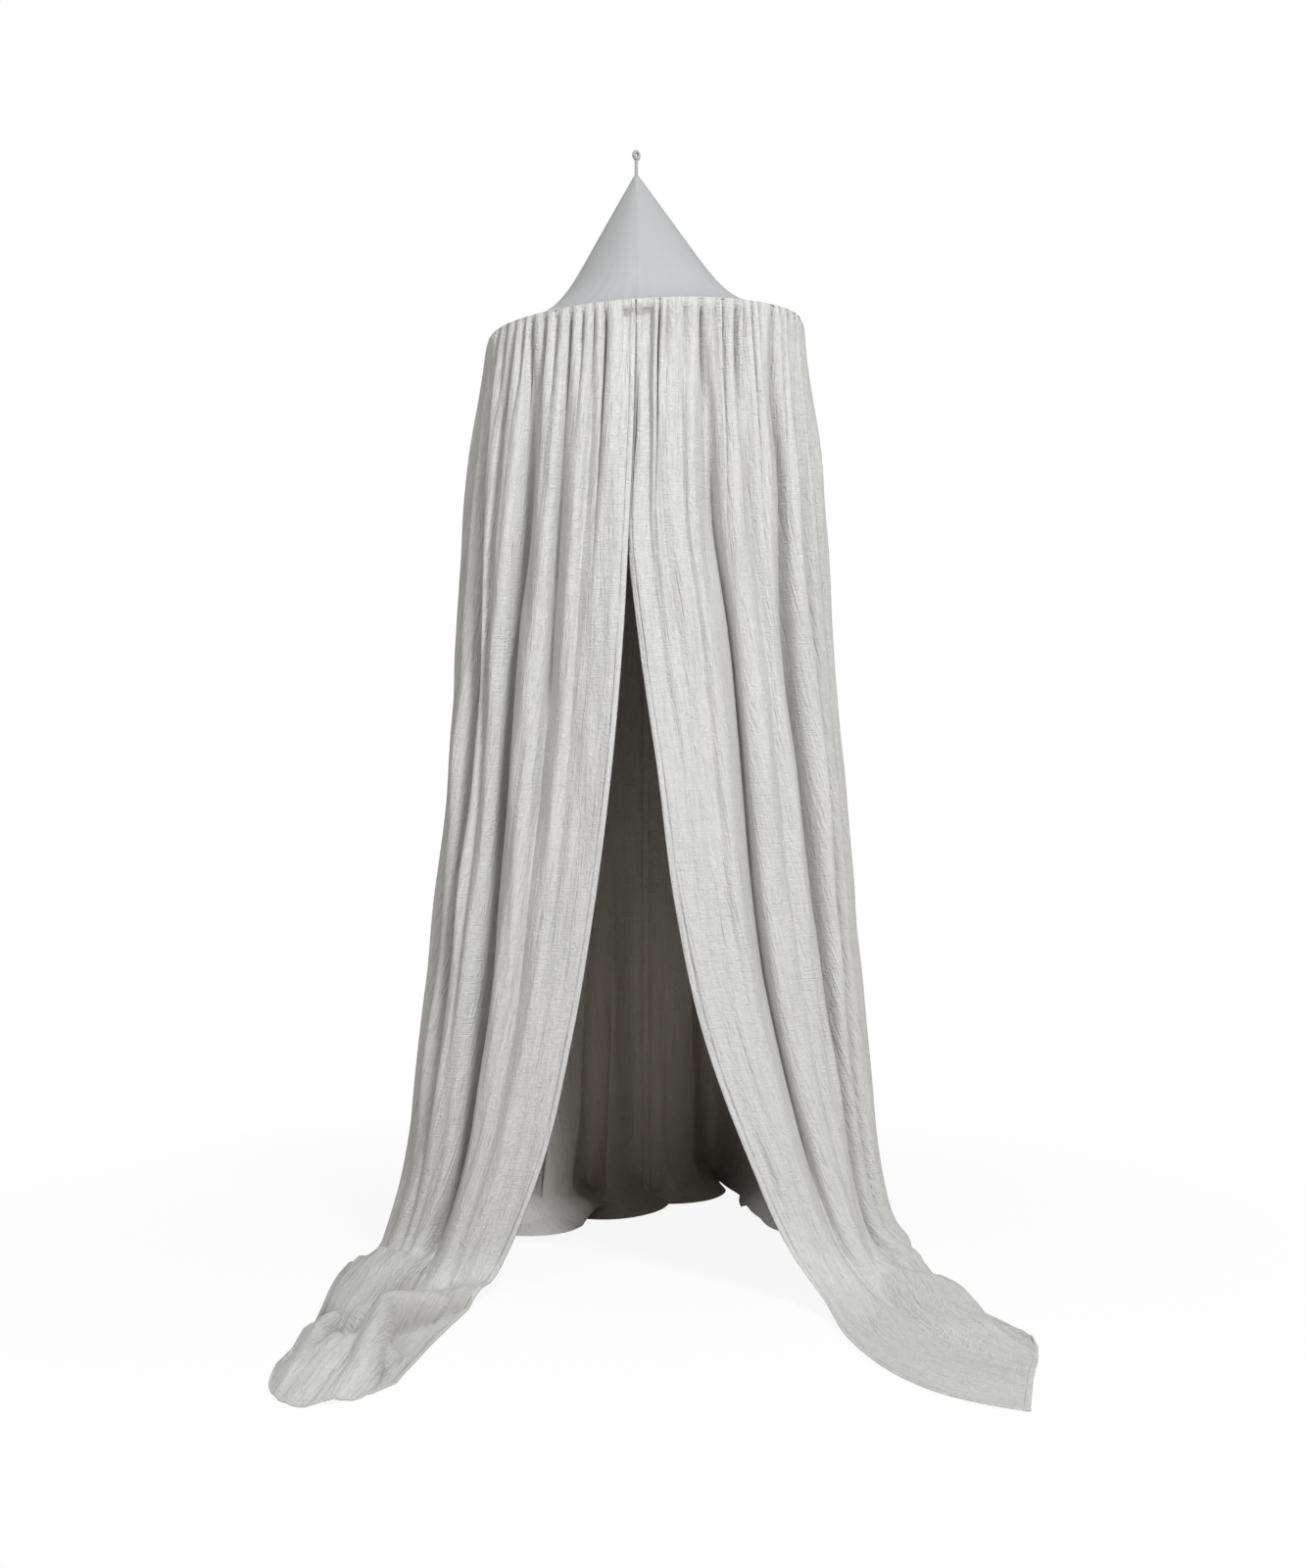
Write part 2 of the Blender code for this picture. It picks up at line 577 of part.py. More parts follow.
def quarter_grid(which, first, last):
    """Grid of one quarter curtain between two upright seams or edges: a column down each valley,
    one down each of its shoulders and one down each ridge."""
    length = np.concatenate(curtain_rows())
    lines = [np.interp(length, LINE_KNOTS, line) for line, depths in FOLDS[which]]
    lines = [line for line in lines if first + FOLD_WIDTH < line[0] < last - FOLD_WIDTH]
    borders = [first + 0 * length, *lines, last + 0 * length]
    columns = [borders[0]]
    for before, after in zip(borders, borders[1:]):
        columns += [before + FOLD_WIDTH, (before + after) / 2, after - FOLD_WIDTH, after]
    share = np.stack(columns, axis=-1)
    return curtain(which, share, length[:, None] + 0 * share)


def make_curtains(swivel):
    """Four quarter curtains; the two front ones turn about upright axes at the sides."""
    for which, side in SIDES.items():
        axis = Vector((side * HINGE_SIDE, 0, 0))
        hinge = add_empty(which + "_curtain_hinge", axis - swivel.location, parent=swivel)
        front = quarter_grid(which, 0.0, 0.5 - SEAM_SHARE)
        add_sheet(which + "_front_curtain", front - np.array(axis), CURTAIN_CLOTH, "cotton_gauze", hinge)
        back = quarter_grid(which, 0.5 + SEAM_SHARE, 1.0 - SEAM_SHARE)
        add_sheet(which + "_back_curtain", back - np.array(swivel.location), CURTAIN_CLOTH,
                  "cotton_gauze", swivel)


def make_back_tape(swivel):
    """Tape down the inside of the back seam, from the gather band to just above the floor."""
    rows = curtain_rows()[0][1:]
    inset = CURTAIN_CLOTH / 2 + 4 * GAP + TAPE_THICKNESS / 2
    seams, edges, slopes = [], [], []
    for which in SIDES:
        seam = curtain(which, 1.0 - SEAM_SHARE + 0 * rows, rows)
        beside = curtain(which, 1.0 - SEAM_SHARE - FOLD_WIDTH + 0 * rows, rows)
        run = beside - seam
        seams.append(seam)
        edges.append(seam + run * (TAPE_WIDTH / 2 / np.abs(run[:, 0]))[:, None])
        slopes.append(np.hypot(1, run[:, 1] / run[:, 0]))
    grid = np.stack([edges[0], (seams[0] + seams[1]) / 2, edges[1]], axis=1)
    grid[..., 1] -= inset * np.stack([slopes[0], np.maximum(*slopes), slopes[1]], axis=1)
    add_sheet("back_seam_tape", grid - np.array(swivel.location), TAPE_THICKNESS, "tape", swivel)


def make_canopy():
    make_hanging_loop()
    swivel = add_empty("canopy_swivel", (0, 0, PIVOT_HEIGHT))
    crown = add_empty("crown", rotation=(0, -CROWN_ROLL, 0), parent=swivel)
    make_apex_patch(crown)
    for which, side in SIDES.items():
        make_cone_gore(which + "_cone_gore", side, crown)
    make_cone_tape("front_cone_tape", SLIT_AZIMUTH, crown)
    make_cone_tape("back_cone_tape", SLIT_AZIMUTH + math.pi, crown)
    make_hoop(crown)
    make_casing(crown)
    make_gather_band(crown)
    make_curtains(swivel)
    make_back_tape(swivel)


clear_scene()
PARTS = make_collection("bed_canopy")
CUTTERS = make_collection("cutters")
MATERIALS = {name: make_material(name, color) for name, color in COLORS.items()}
make_canopy()
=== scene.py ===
"""Looks of the bed canopy: gathered double gauze under a plain cone, in a plain pale studio.

Metres, +Z up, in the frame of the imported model. A half curtain is a surface of two
parameters: share runs round it from the free edge (0) over the side (0.5) to the back
seam (1), and length runs down the cloth from the hoop.
"""
import json
import math

import bmesh
import bpy
import numpy as np
from bpy.props import FloatProperty, FloatVectorProperty, IntProperty, PointerProperty
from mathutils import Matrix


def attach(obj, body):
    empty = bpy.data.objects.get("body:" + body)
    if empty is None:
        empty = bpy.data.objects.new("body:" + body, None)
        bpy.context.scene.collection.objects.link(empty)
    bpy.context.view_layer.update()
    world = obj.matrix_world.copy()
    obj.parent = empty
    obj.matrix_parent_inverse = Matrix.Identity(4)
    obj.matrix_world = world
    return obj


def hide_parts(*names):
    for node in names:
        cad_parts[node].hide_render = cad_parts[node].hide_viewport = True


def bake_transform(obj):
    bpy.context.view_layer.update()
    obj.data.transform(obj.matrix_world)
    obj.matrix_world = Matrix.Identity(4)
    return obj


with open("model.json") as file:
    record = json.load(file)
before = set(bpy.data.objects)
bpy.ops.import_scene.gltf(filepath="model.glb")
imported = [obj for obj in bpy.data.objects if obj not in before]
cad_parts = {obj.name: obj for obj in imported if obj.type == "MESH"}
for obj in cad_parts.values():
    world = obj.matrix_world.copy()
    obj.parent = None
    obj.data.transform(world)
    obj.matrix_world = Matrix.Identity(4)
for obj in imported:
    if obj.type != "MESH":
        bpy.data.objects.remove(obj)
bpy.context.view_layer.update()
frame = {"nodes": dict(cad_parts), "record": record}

bl_info = {
    "name": "Bed canopy",
    "version": (1, 0, 0),
    "blender": (4, 5, 0),
    "location": "View3D > Sidebar > Bed canopy",
    "description": "Builds a hanging bed canopy of gathered double gauze",
    "category": "Object",
}

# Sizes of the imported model, in metres
FLOOR = -1.760
CLOTH = 0.0015
SEAM_RADIUS = 0.2475
BAND_RADIUS = 0.2466
BAND_HEIGHT = 0.012
BAND_TOP = -0.2497
ROLL = math.radians(3.4)
PIVOT_HEIGHT = -0.03836
CONE_HEIGHT = 0.256
CONE_STRAIGHT = 0.160
CONE_FLARE_POWER = 10.0
TIP_RADIUS = 0.0035
EYE_WIDTH = 0.0126
EYE_HEIGHT = 0.0114
CORD_DIAMETER = 0.0048
KNOT_TOP = -0.0465
PATCH_DEPTH = 0.01392
SLIT_AZIMUTH = math.radians(-3.0)
SLIT_GAP = 0.002
CURTAIN_LENGTH = 2.05
CURTAIN_WIDTH = 1.45
DROP = -FLOOR + PIVOT_HEIGHT - (CONE_HEIGHT - PATCH_DEPTH / 2)
SIDES = {"left": -1.0, "right": 1.0}

# Cord, cone and sewn strips
NECK_DIAMETER = 0.0056
CORD_CORE = 0.78          # radius of the cord between its plies, as a share of the radius over them
TWISTS = {"loop_eye": (3, 0.013), "loop_neck": (2, 0.014), "loop_knot": (3, 0.012)}   # plies, pitch
COIL_RADIUS = 0.0034
COIL_HEIGHT = 0.0100
COIL_TURNS = 3
CONE_SAG = 0.0016
CONE_SEAM = 0.0007
EDGE_LAP = 0.0006         # how far a sewn strip reaches past the edge of the cloth
HEM_REACH = 5             # rows each way over which a hem's direction is averaged
HEM_NARROWEST = 0.12      # least width of a slanting hem, as a share of its full width
HEM_WEAVE = (0.1, 0.6)    # where the hems' cloth coordinates start, clear of the stitched line
BACK_SEAM_WEAVE = (1.42, 1.44)
BACK_SEAM_WIDTH = 0.012
BACK_SEAM_THICKNESS = 0.0022
BACK_SEAM_INSET = 0.0016  # how far in front of the cloth's back edges it lies

# How softly the cloth lands on the floor: in front, and at the back
LANDING = {"left": (0.030, 0.016), "right": (0.055, 0.016)}
LAID_LEVEL = 0.30         # part of the lying cloth over which its folds turn from outward to upward
FLOOR_SOFTNESS = 0.002    # height over the floor within which the cloth is lifted clear of it
SWELL = 0.013             # how far the gathered cloth stands out below the hoop
SWELL_REACH = 0.11        # length of cloth over which it comes to that
FOOT_REACH = 0.045        # length of cloth to each side of the floor line that the foot's roll takes
HEAP_REACH = 0.05         # height over the floor up to which the hanging cloth follows the heaps
FRONT_COLUMNS, FRONT_CLOTH = 0.68, 0.53   # share of the columns, and of the cloth they cover
COLUMN_REACH = 22         # rows each way over which the columns' steps are averaged

# Lengths below the hoop, and how far out the free edges and the sides hang there
EDGE_KNOTS = (0.0, 0.20, 0.34, 0.50, 0.70, 0.90, 1.10, 1.28, 1.38, DROP)
EDGE_LINE = {
    "left": (-.002, -.005, -.0115, -.0197, -.0368, -.0625, -.0968, -.139, -.176, -.218),
    "right": (.002, -.006, -.012, .0045, .0335, .0595, .1045, .172, .2145, .267),
}
EDGE_DEPTH = {"left": .217, "right": .264}
SIDE_KNOTS = (0.0, 0.09, 0.25, 0.56, 0.87, 1.03, 1.18, 1.34, 1.40, DROP)
SIDE_LINE = {
    "left": (.2475, .257, .275, .298, .323, .336, .353, .376, .392, .416),
    "right": (.2475, .253, .268, .293, .321, .3345, .348, .364, .375, .402),
}
BACK_LEAN = 0.068         # how far the back hangs out for each metre of drop
# Where the foot of each back curtain is drawn in or out: its share, how far, and over what width
BACK_PULLS = {
    "left": [(.855, -.165, .040), (.945, -.075, .022), (1.0, .051, .030)],
    "right": [(.785, -.160, .030), (.895, .270, .045), (1.0, .050, .030)],
}

# Where the hem lies on the floor and what each line of the cloth bends towards, by share:
# the free edge to the side, then the side to the back seam
FRONT_HEM = {
    "left": [(-.297, -.700), (-.345, -.772), (-.412, -.795), (-.458, -.700), (-.452, -.530), (-.443, -.330)],
    "right": [(.480, -.822), (.508, -.690), (.535, -.575), (.540, -.484), (.476, -.352), (.452, -.215)],
}
FRONT_BEND = {
    "left": [(-.262, -.450), (-.305, -.500), (-.370, -.500), (-.420, -.420), (-.432, -.260), (-.424, -.120)],
    "right": [(.285, -.735), (.360, -.590), (.440, -.440), (.480, -.310), (.462, -.160), (.440, -.060)],
}
BACK_HEM = {
    "left": [(-.443, -.330), (-.424, -.090), (-.385, .160), (-.255, .460), (0, .580)],
    "right": [(.452, -.215), (.426, .010), (.398, .220), (.240, .640), (0, .580)],
}
BACK_BEND = {
    "left": [(-.424, -.120), (-.420, .050), (-.370, .280), (-.220, .400), (0, .500)],
    "right": [(.440, -.060), (.430, .060), (.375, .270), (.200, .630), (0, .500)],
}

# Folds: the share of each fold's valley and its depth in mm, down these lengths (a row that ends
# early keeps its last value), then the valley's half width as a share, and how far it is tucked
# under one side for each metre of its depth
FOLD_KNOTS = (0.07, 0.30, 0.50, 0.75, 1.00, 1.25, 1.42, 1.58, 1.80, 2.05)
FOLDS = {
    "left": [
        ((.076, .076, .079, .075, .072, .074, .080, .086, .090, .092),
         (12, 20, 16, 9, 6, 3, 2, 2, 2, 1), .012, .3),
        ((.125, .126, .129, .126, .120, .118, .120, .124, .128, .130),
         (12, 34, 40, 34, 20, 7, 3, 2, 2, 1), .015, .3),
        ((.212, .206, .220, .218, .215, .204, .200, .198, .196),
         (14, 50, 64, 66, 62, 56, 44, 16, 4, 2), .018, .35),
        ((.285, .288, .286, .280, .276, .268, .262, .260), (10, 20, 22, 18, 10, 4, 3, 2), .012, .3),
        ((.357, .346, .336, .333, .337, .312, .300, .296, .294, .292),
         (14, 46, 60, 62, 46, 16, 7, 4, 3, 2), .018, .35),
        ((.430, .430, .425, .420, .420, .410, .400, .395, .390),
         (10, 30, 40, 42, 30, 12, 7, 4, 3, 2), .017, .3),
        ((.520, .515, .510, .505, .500), (10, 30, 42, 46, 42, 28, 15, 6, 4, 3), .018, .3),
        ((.600, .605, .600), (10, 28, 38, 42, 38, 28, 18, 10, 8, 6), .018, .4),
        ((.690, .700, .695, .690), (10, 26, 38, 44, 42, 32, 18, 8, 5, 3), .018, .4),
        ((.780, .775, .790, .785, .780), (10, 26, 34, 42, 42, 34, 24, 16, 12, 10), .018, -.3),
        ((.880, .890, .885, .880), (10, 26, 34, 42, 40, 32, 24, 16, 12, 10), .018, .3),
    ],
    "right": [
        ((.000,), (16, 14, 6, 0), .010, 0),
        ((.019, .030, .034, .036), (10, 12, 7, 4, 2, 1, 0), .009, .3),
        ((.049, .060, .066), (12, 12, 8, 5, 3, 1, 0), .009, -.3),
        ((.077, .087, .097, .092, .090), (12, 18, 16, 12, 8, 5, 2, 0), .011, .2),
        ((.129, .138, .151, .142, .138, .145, .150), (14, 44, 56, 58, 52, 38, 20, 6, 2, 0), .016, .35),
        ((.200, .214, .220, .216, .214), (10, 20, 18, 12, 10, 8, 4, 2, 1, 0), .012, .2),
        ((.281, .297, .288, .295, .304, .300, .292, .284, .280),
         (16, 54, 66, 72, 70, 64, 56, 34, 8, 0), .018, .35),
        ((.360, .372, .370, .367, .367, .360, .355, .350),
         (10, 26, 34, 38, 36, 28, 20, 10, 4, 2), .014, .3),
        ((.430, .435, .440), (10, 30, 42, 46, 44, 36, 26, 14, 9, 5), .016, .3),
        ((.520, .525, .520), (10, 28, 40, 44, 40, 30, 20, 10, 7, 5), .018, .3),
        ((.610, .600, .605, .610), (10, 28, 38, 44, 40, 30, 16, 6, 4, 3), .018, .4),
        ((.700, .700, .705, .700), (10, 24, 34, 42, 40, 30, 16, 7, 4, 3), .018, -.3),
        ((.790, .785, .780, .785, .790), (10, 24, 30, 36, 38, 32, 24, 16, 12, 10), .018, .3),
        ((.870, .865, .860, .855, .850), (-6, -20, -34, -46, -52, -46, -32, -16, -8, -4), .015, .2),
        ((.930,), (10, 18, 24, 28, 28, 24, 18, 12, 8, 6), .018, .3),
    ],
}
# Gathers under the hoop: shares of the creases between the puffs, their mean depth, and the
# shortest and the longest way that a crease runs down
GATHERS = {
    "left": (.023, .060, .082, .105, .131, .163, .192, .226, .249, .279, .313, .350, .375, .410, .448,
             .480, .525, .560, .600, .645, .680, .725, .765, .800, .850, .890, .935),
    "right": (.030, .044, .058, .092, .125, .155, .168, .200, .216, .236, .256, .298, .322, .355, .392,
              .425, .460, .505, .550, .585, .630, .670, .715, .760, .800, .845, .890, .940),
}
GATHER_DEPTH = 0.034
GATHER_REACH = (0.08, 0.25)

# Crests of the cloth heaped on the floor: points with their height, then the crest's half
# width to its left and to its right as one walks along it
MOUNDS = {
    "left": [
        ([(-.222, -.246, .014), (-.295, -.384, .044), (-.358, -.497, .068)], .027, .050),
        ([(-.358, -.497, .066), (-.354, -.629, .060), (-.349, -.702, .048),
          (-.353, -.747, .034)], .032, .026),
        ([(-.386, -.597, .044), (-.412, -.621, .046), (-.414, -.657, .042),
          (-.435, -.729, .028)], .085, .016),
        ([(-.418, -.495, .048), (-.429, -.530, .048), (-.426, -.595, .044)], .022, .024),
        ([(-.426, -.595, .044), (-.438, -.689, .054), (-.449, -.742, .042)], .018, .026),
        ([(-.366, -.090, .012), (-.384, -.190, .058), (-.419, -.273, .066),
          (-.438, -.353, .054)], .070, .044),
        ([(-.215, .200, .030), (-.150, .230, .034), (-.115, .290, .020)], .020, .035),
    ],
    "right": [
        ([(.200, .300, .026), (.255, .150, .026)], .035, .035),
        ([(.372, .076, .034), (.402, -.139, .045), (.435, -.305, .042), (.478, -.462, .028),
          (.526, -.540, .010)], .018, .075),
    ],
}
# How far the tops of the heaps lean sideways and forwards, for each metre of their height
MOUND_LEAN = {"left": (0.35, -0.50), "right": (0.30, -0.10)}
# Low waves of the cloth: turns round the curtain, turns down two metres of it, and height in mm
WAVES = ((5.3, 0.9, 2.6), (9.7, -1.3, 2.0), (14.1, 1.7, 1.4), (21.3, -2.6, 0.9), (33.0, 4.1, 0.55),
         (47.0, -6.3, 0.35), (12.0, 7.3, 0.7), (27.0, 11.0, 0.4))
WAVE_PHASE = {"left": 0.63, "right": 0.21}
# How high the cloth buckles across its length on the floor, in mm, by share
BUCKLE_KNOTS = (0.0, 0.06, 0.15, 0.28, 0.40, 0.50, 0.65, 0.82, 1.0)
BUCKLES = {
    "left": (0, 0, 1, 2, 4, 5, 7, 30, 34),
    "right": (0, 0, 0, 1, 2, 3, 6, 30, 34),
}
# How far the back's foot rolls inwards before the cloth lies out on the floor, in mm, by share
FOOT_KNOTS = (0.0, 0.62, 0.68, 0.72, 0.76, 0.80, 0.84, 0.88, 0.91, 0.94, 0.97, 1.0)
FOOT_ROLLS = {
    "left": (0, 0, 0, 2, 12, 40, 90, 60, 95, 80, 95, 70),
    "right": (0, 0, 0, 4, 25, 60, 60, 30, 35, 70, 60, 70),
}

WHITE = (1.0, 1.0, 1.0)
# Painted shade: how far the gauze's colour is darkened and warmed towards its back, for the shaded inside
BACK_PAINTED_SHADE = (0.96, 0.895, 0.835)
# The stage: each lamp's place, where the lamps point, and the camera
LAMP_PLACES = {"left_lamp": (-1.5, -3.5, 2.1), "right_lamp": (1.45, -3.35, 2.5)}
LAMP_AIM = (0, 0, -0.9)
CAMERA_PLACE = (0.0266, -3.35, -0.99)
CAMERA_LENS = 48.24
CAMERA_SHIFT = -10 / 1600


def unit(vectors):
    """The vectors divided by their lengths."""
    return vectors / np.maximum(np.linalg.norm(vectors, axis=-1, keepdims=True), 1e-12)


def pairs(first, second):
    """Two arrays as one of pairs, each spread over the other's shape."""
    return np.stack(np.broadcast_arrays(first, second), axis=-1)


def run_along(line):
    """Distance along a line of points from its start: the running sum of its steps."""
    return np.concatenate([[0], np.cumsum(np.linalg.norm(np.diff(line, axis=0), axis=1))])


def under_drop(which, share, length):
    """Height that a line of cloth still has to fall: soft * log(1 + exp((drop - length) / soft)), so
    it bends into the floor, softly in front and sharply at the back."""
    front, back = LANDING[which]
    soft = back + (front - back) * np.exp(-(share / 0.5) ** 4)
    return soft * np.log1p(np.exp((DROP - length) / soft))


def smooth_line(knots, values, at):
    """Cubic through values at uneven knots; each slope is the finite difference of its neighbours."""
    knots = np.asarray(knots, dtype=float)
    values = np.asarray(values, dtype=float)
    slopes = np.gradient(values, knots)
    place = np.clip(np.searchsorted(knots, at, side="right") - 1, 0, len(knots) - 2)
    span = knots[place + 1] - knots[place]
    t = np.clip((at - knots[place]) / span, 0, 1)
    rise = values[place + 1] - values[place]
    return (values[place] + slopes[place] * span * t * (1 - t) ** 2
            + rise * t ** 2 * (3 - 2 * t) - slopes[place + 1] * span * t ** 2 * (1 - t))


def guide_line(guides, share):
    """Catmull-Rom line through evenly spaced guide points, read at shares from 0 to 1."""
    guides = np.asarray(guides, dtype=float)
    padded = np.vstack([2 * guides[0] - guides[1], guides, 2 * guides[-1] - guides[-2]])
    place = np.clip(share, 0, 1) * (len(guides) - 1)
    step = np.minimum(place.astype(int), len(guides) - 2)
    t = (place - step)[..., None]
    before, start, end, after = (padded[step + i] for i in range(4))
    return 0.5 * (2 * start + (end - before) * t
                  + (2 * before - 5 * start + 4 * end - after) * t ** 2
                  + (3 * (start - end) + after - before) * t ** 3)


def hoop_point(azimuth, radius, height):
    """World place of a point of the crown, which is rolled about the apex with its left side low."""
    x = radius * np.sin(azimuth)
    return (x * math.cos(ROLL) - height * math.sin(ROLL), -radius * np.cos(azimuth),
            x * math.sin(ROLL) + height * math.cos(ROLL) + PIVOT_HEIGHT)


def outline(which, share, length):
    """Level outline of a half curtain, as x and y: a half ellipse through its side line and its free
    edge's line, with the foot of the back drawn in and out by bumps exp(-x ** 2)."""
    side = SIDES[which]
    fall = np.clip(length / DROP, 0, 1)
    hung = np.minimum(length, DROP)
    side_x = side * smooth_line(SIDE_KNOTS, SIDE_LINE[which], hung)
    edge_x = smooth_line(EDGE_KNOTS, EDGE_LINE[which], hung)
    edge_y = SEAM_RADIUS + (EDGE_DEPTH[which] - SEAM_RADIUS) * fall ** 2
    turn_x = np.sin(math.pi * share)
    back_y = SEAM_RADIUS + BACK_LEAN * hung
    pull = sum(far * np.exp(-((share - at) / width) ** 2) for at, far, width in BACK_PULLS[which])
    in_front = share < 0.5
    x = np.where(in_front, edge_x + (side_x - edge_x) * turn_x, side_x * turn_x)
    y = np.where(in_front, edge_y, back_y) * -np.cos(math.pi * share) + pull * fall ** 3 * ~in_front
    return pairs(x, y)


def floor_path(which, share):
    """Where a line of the cloth bends towards on the floor, and where its hem lies."""
    front = np.clip(share * 2, 0, 1)
    back = np.clip(share * 2 - 1, 0, 1)
    in_front = (share < 0.5)[..., None]
    bend = np.where(in_front, guide_line(FRONT_BEND[which], front), guide_line(BACK_BEND[which], back))
    hem = np.where(in_front, guide_line(FRONT_HEM[which], front), guide_line(BACK_HEM[which], back))
    return bend, hem


def curtain_base(which, share, length):
    """Smooth form without folds: the hoop's arc, hung along the outline, then bent along the floor by
    a parabola through its foot, its bend and its hem. Also returns how far the cloth is laid, 0 to 1."""
    side = SIDES[which]
    start = SLIT_AZIMUTH + side * SLIT_GAP / 2 / SEAM_RADIUS
    sweep = math.pi - side * SLIT_AZIMUTH - SLIT_GAP / 2 / SEAM_RADIUS
    top_x, top_y, top_z = hoop_point(start + side * sweep * share, BAND_RADIUS + CLOTH, BAND_TOP)
    to_fall = under_drop(which, share, length)
    fallen = DROP - to_fall
    laid = np.clip((length - fallen) / (CURTAIN_LENGTH - DROP), 0, 1)
    from_outline = pairs(top_x, top_y) - outline(which, share, 0 * fallen)
    hung = outline(which, share, fallen) + from_outline
    foot = outline(which, share, 0 * fallen + DROP) + from_outline
    bend, hem = floor_path(which, share)
    out = laid[..., None]
    level = hung + 2 * out * (1 - out) * (bend - foot) + out ** 2 * (hem - foot)
    height = FLOOR + CLOTH / 2 + to_fall * (top_z - FLOOR) / DROP
    return np.concatenate([level, height[..., None]], axis=-1), laid


def held(values):
    """One value for each of FOLD_KNOTS: a row that ends early keeps its last value."""
    return values + values[-1:] * (len(FOLD_KNOTS) - len(values))


def fold_relief(which, share, length, depth_scale):
    """Outward offset, sideways shift and lift of the cloth. Each valley is a dip, exp(-|x| ** 1.35)
    across its line, and wider on the floor. It is tucked sideways under one of its ridges, and the
    lift keeps the lying folds above the floor."""
    offset = np.zeros(np.broadcast_shapes(share.shape, length.shape))
    shift = np.zeros_like(offset)
    lift = np.zeros_like(offset)
    on_floor = 1 / (1 + np.exp((DROP + 0.06 - length) / 0.03))
    for path, depths, width, tuck in FOLDS[which]:
        line = smooth_line(FOLD_KNOTS, held(path), length)
        depth = smooth_line(FOLD_KNOTS, held(depths), length) * 0.001 * depth_scale
        depth = depth * (1 - np.exp(-(length / 0.09) ** 2))
        across = (share - line) / (width * (1 + 0.9 * on_floor))
        offset -= depth * np.exp(-np.abs(across) ** 1.35)
        shift += np.abs(depth) * tuck * np.exp(-(across / 0.8) ** 2)
        lift = np.maximum(lift, np.abs(depth) * np.exp(-(across / 4.5) ** 2))
    return offset, shift, lift


def gather_relief(which, share, length):
    """Rounded puffs between sharp creases: sqrt(4 t (1 - t)) across each puff, times the depth of the
    creases beside it. A crease opens at the seam and fades at its own reach; golden-ratio steps give
    each crease its reach and depth. At the seam the puffs stand out from the band, and further down
    the creases sink behind the cloth's mean surface."""
    shape = np.broadcast_shapes(share.shape, length.shape)
    before, after = np.ones(shape), np.ones(shape)
    left_depth, right_depth = np.zeros(shape), np.zeros(shape)
    shortest, longest = GATHER_REACH
    for number, line in enumerate(GATHERS[which]):
        reach = shortest + (longest - shortest) * ((number * 0.618 + 0.2) % 1) ** 2
        depth = GATHER_DEPTH * (0.6 + 0.65 * ((number * 0.382 + 0.3) % 1))
        depth = depth * (1.18 - np.exp(-length / 0.030) - 0.18 * np.exp(-length / 0.002))
        depth = depth * np.exp(-(length / reach) ** 1.5) + 0 * share
        gap = share - line
        nearer = (gap >= 0) & (gap < before)
        before, left_depth = np.where(nearer, gap, before), np.where(nearer, depth, left_depth)
        nearer = (gap < 0) & (-gap < after)
        after, right_depth = np.where(nearer, -gap, after), np.where(nearer, depth, right_depth)
    place = before / (before + after)
    puff = np.sqrt(np.clip(4 * place * (1 - place), 0, 1))
    return (puff - 1 + 0.32 * np.exp(-length / 0.030)) * (left_depth * (1 - place) + right_depth * place)


def undulation(share, length, phase):
    """Low waves that keep the ridges from being even: a sum of cosines that run mostly down the cloth."""
    wave = 0.0
    for number, (across, down, height) in enumerate(WAVES):
        bend = 0.35 * np.sin(math.tau * (0.6 * length + 0.17 * number + phase))
        wave = wave + height * np.cos(math.tau * (across * share + down * length / 2 + bend
                                                  + 0.37 * number * number + phase))
    return 0.001 * wave * (1 - np.exp(-length / 0.12))


def buckle_height(which, share, laid):
    """Waves across the laid cloth that take up its spare length: a squared sine down the cloth, whose
    phase drifts round the curtain."""
    tall = smooth_line(BUCKLE_KNOTS, BUCKLES[which], share) * 0.001
    drift = 0.5 * np.sin(math.tau * 2.3 * share + 0.8) + 0.2 * np.sin(math.tau * 5.3 * share)
    wave = np.sin(math.pi * (2.7 * laid ** 0.85 + drift * laid)) ** 2
    return tall * wave


def mound_height(which, x, y):
    """Height of the heaped cloth over the floor: the tallest of the rolls along its crest lines,
    (1 - (d / w) ** 2) ** 0.7, where w is the half width on that side of the crest."""
    height = np.zeros_like(x)
    for crest, left_width, right_width in MOUNDS[which]:
        for (x0, y0, start), (x1, y1, end) in zip(crest, crest[1:]):
            run = np.array([x1 - x0, y1 - y0])
            along = np.clip(((x - x0) * run[0] + (y - y0) * run[1]) / (run @ run), 0, 1)
            away = np.hypot(x - x0 - along * run[0], y - y0 - along * run[1])
            on_left = run[0] * (y - y0) - run[1] * (x - x0) > 0
            width = np.where(on_left, left_width, right_width)
            roll = np.clip(1 - (away / width) ** 2, 0, 1) ** 0.7
            height = np.maximum(height, (start + (end - start) * along) * roll)
    return height


def row_lengths(rows):
    """Lengths of the rows, closer together under the hoop and where the cloth meets the floor."""
    length = np.linspace(0, CURTAIN_LENGTH, 2000)
    density = (1 + 1.6 * np.exp(-length / 0.07) + 1.0 * np.exp(-((length - DROP - 0.05) / 0.16) ** 2)
               + 0.6 * (length > DROP))
    total = np.concatenate([[0], np.cumsum((density[1:] + density[:-1]) / 2)])
    return np.interp(np.linspace(0, total[-1], rows), total, length)


def smooth_rows(values, reach):
    """Moving average along the first axis, over that many rows each way, taken twice."""
    for _ in range(2):
        padded = np.concatenate([np.repeat(values[:1], reach + 1, axis=0), values,
                                 np.repeat(values[-1:], reach, axis=0)])
        total = np.cumsum(padded, axis=0)
        values = (total[2 * reach + 1:] - total[:-2 * reach - 1]) / (2 * reach + 1)
    return values


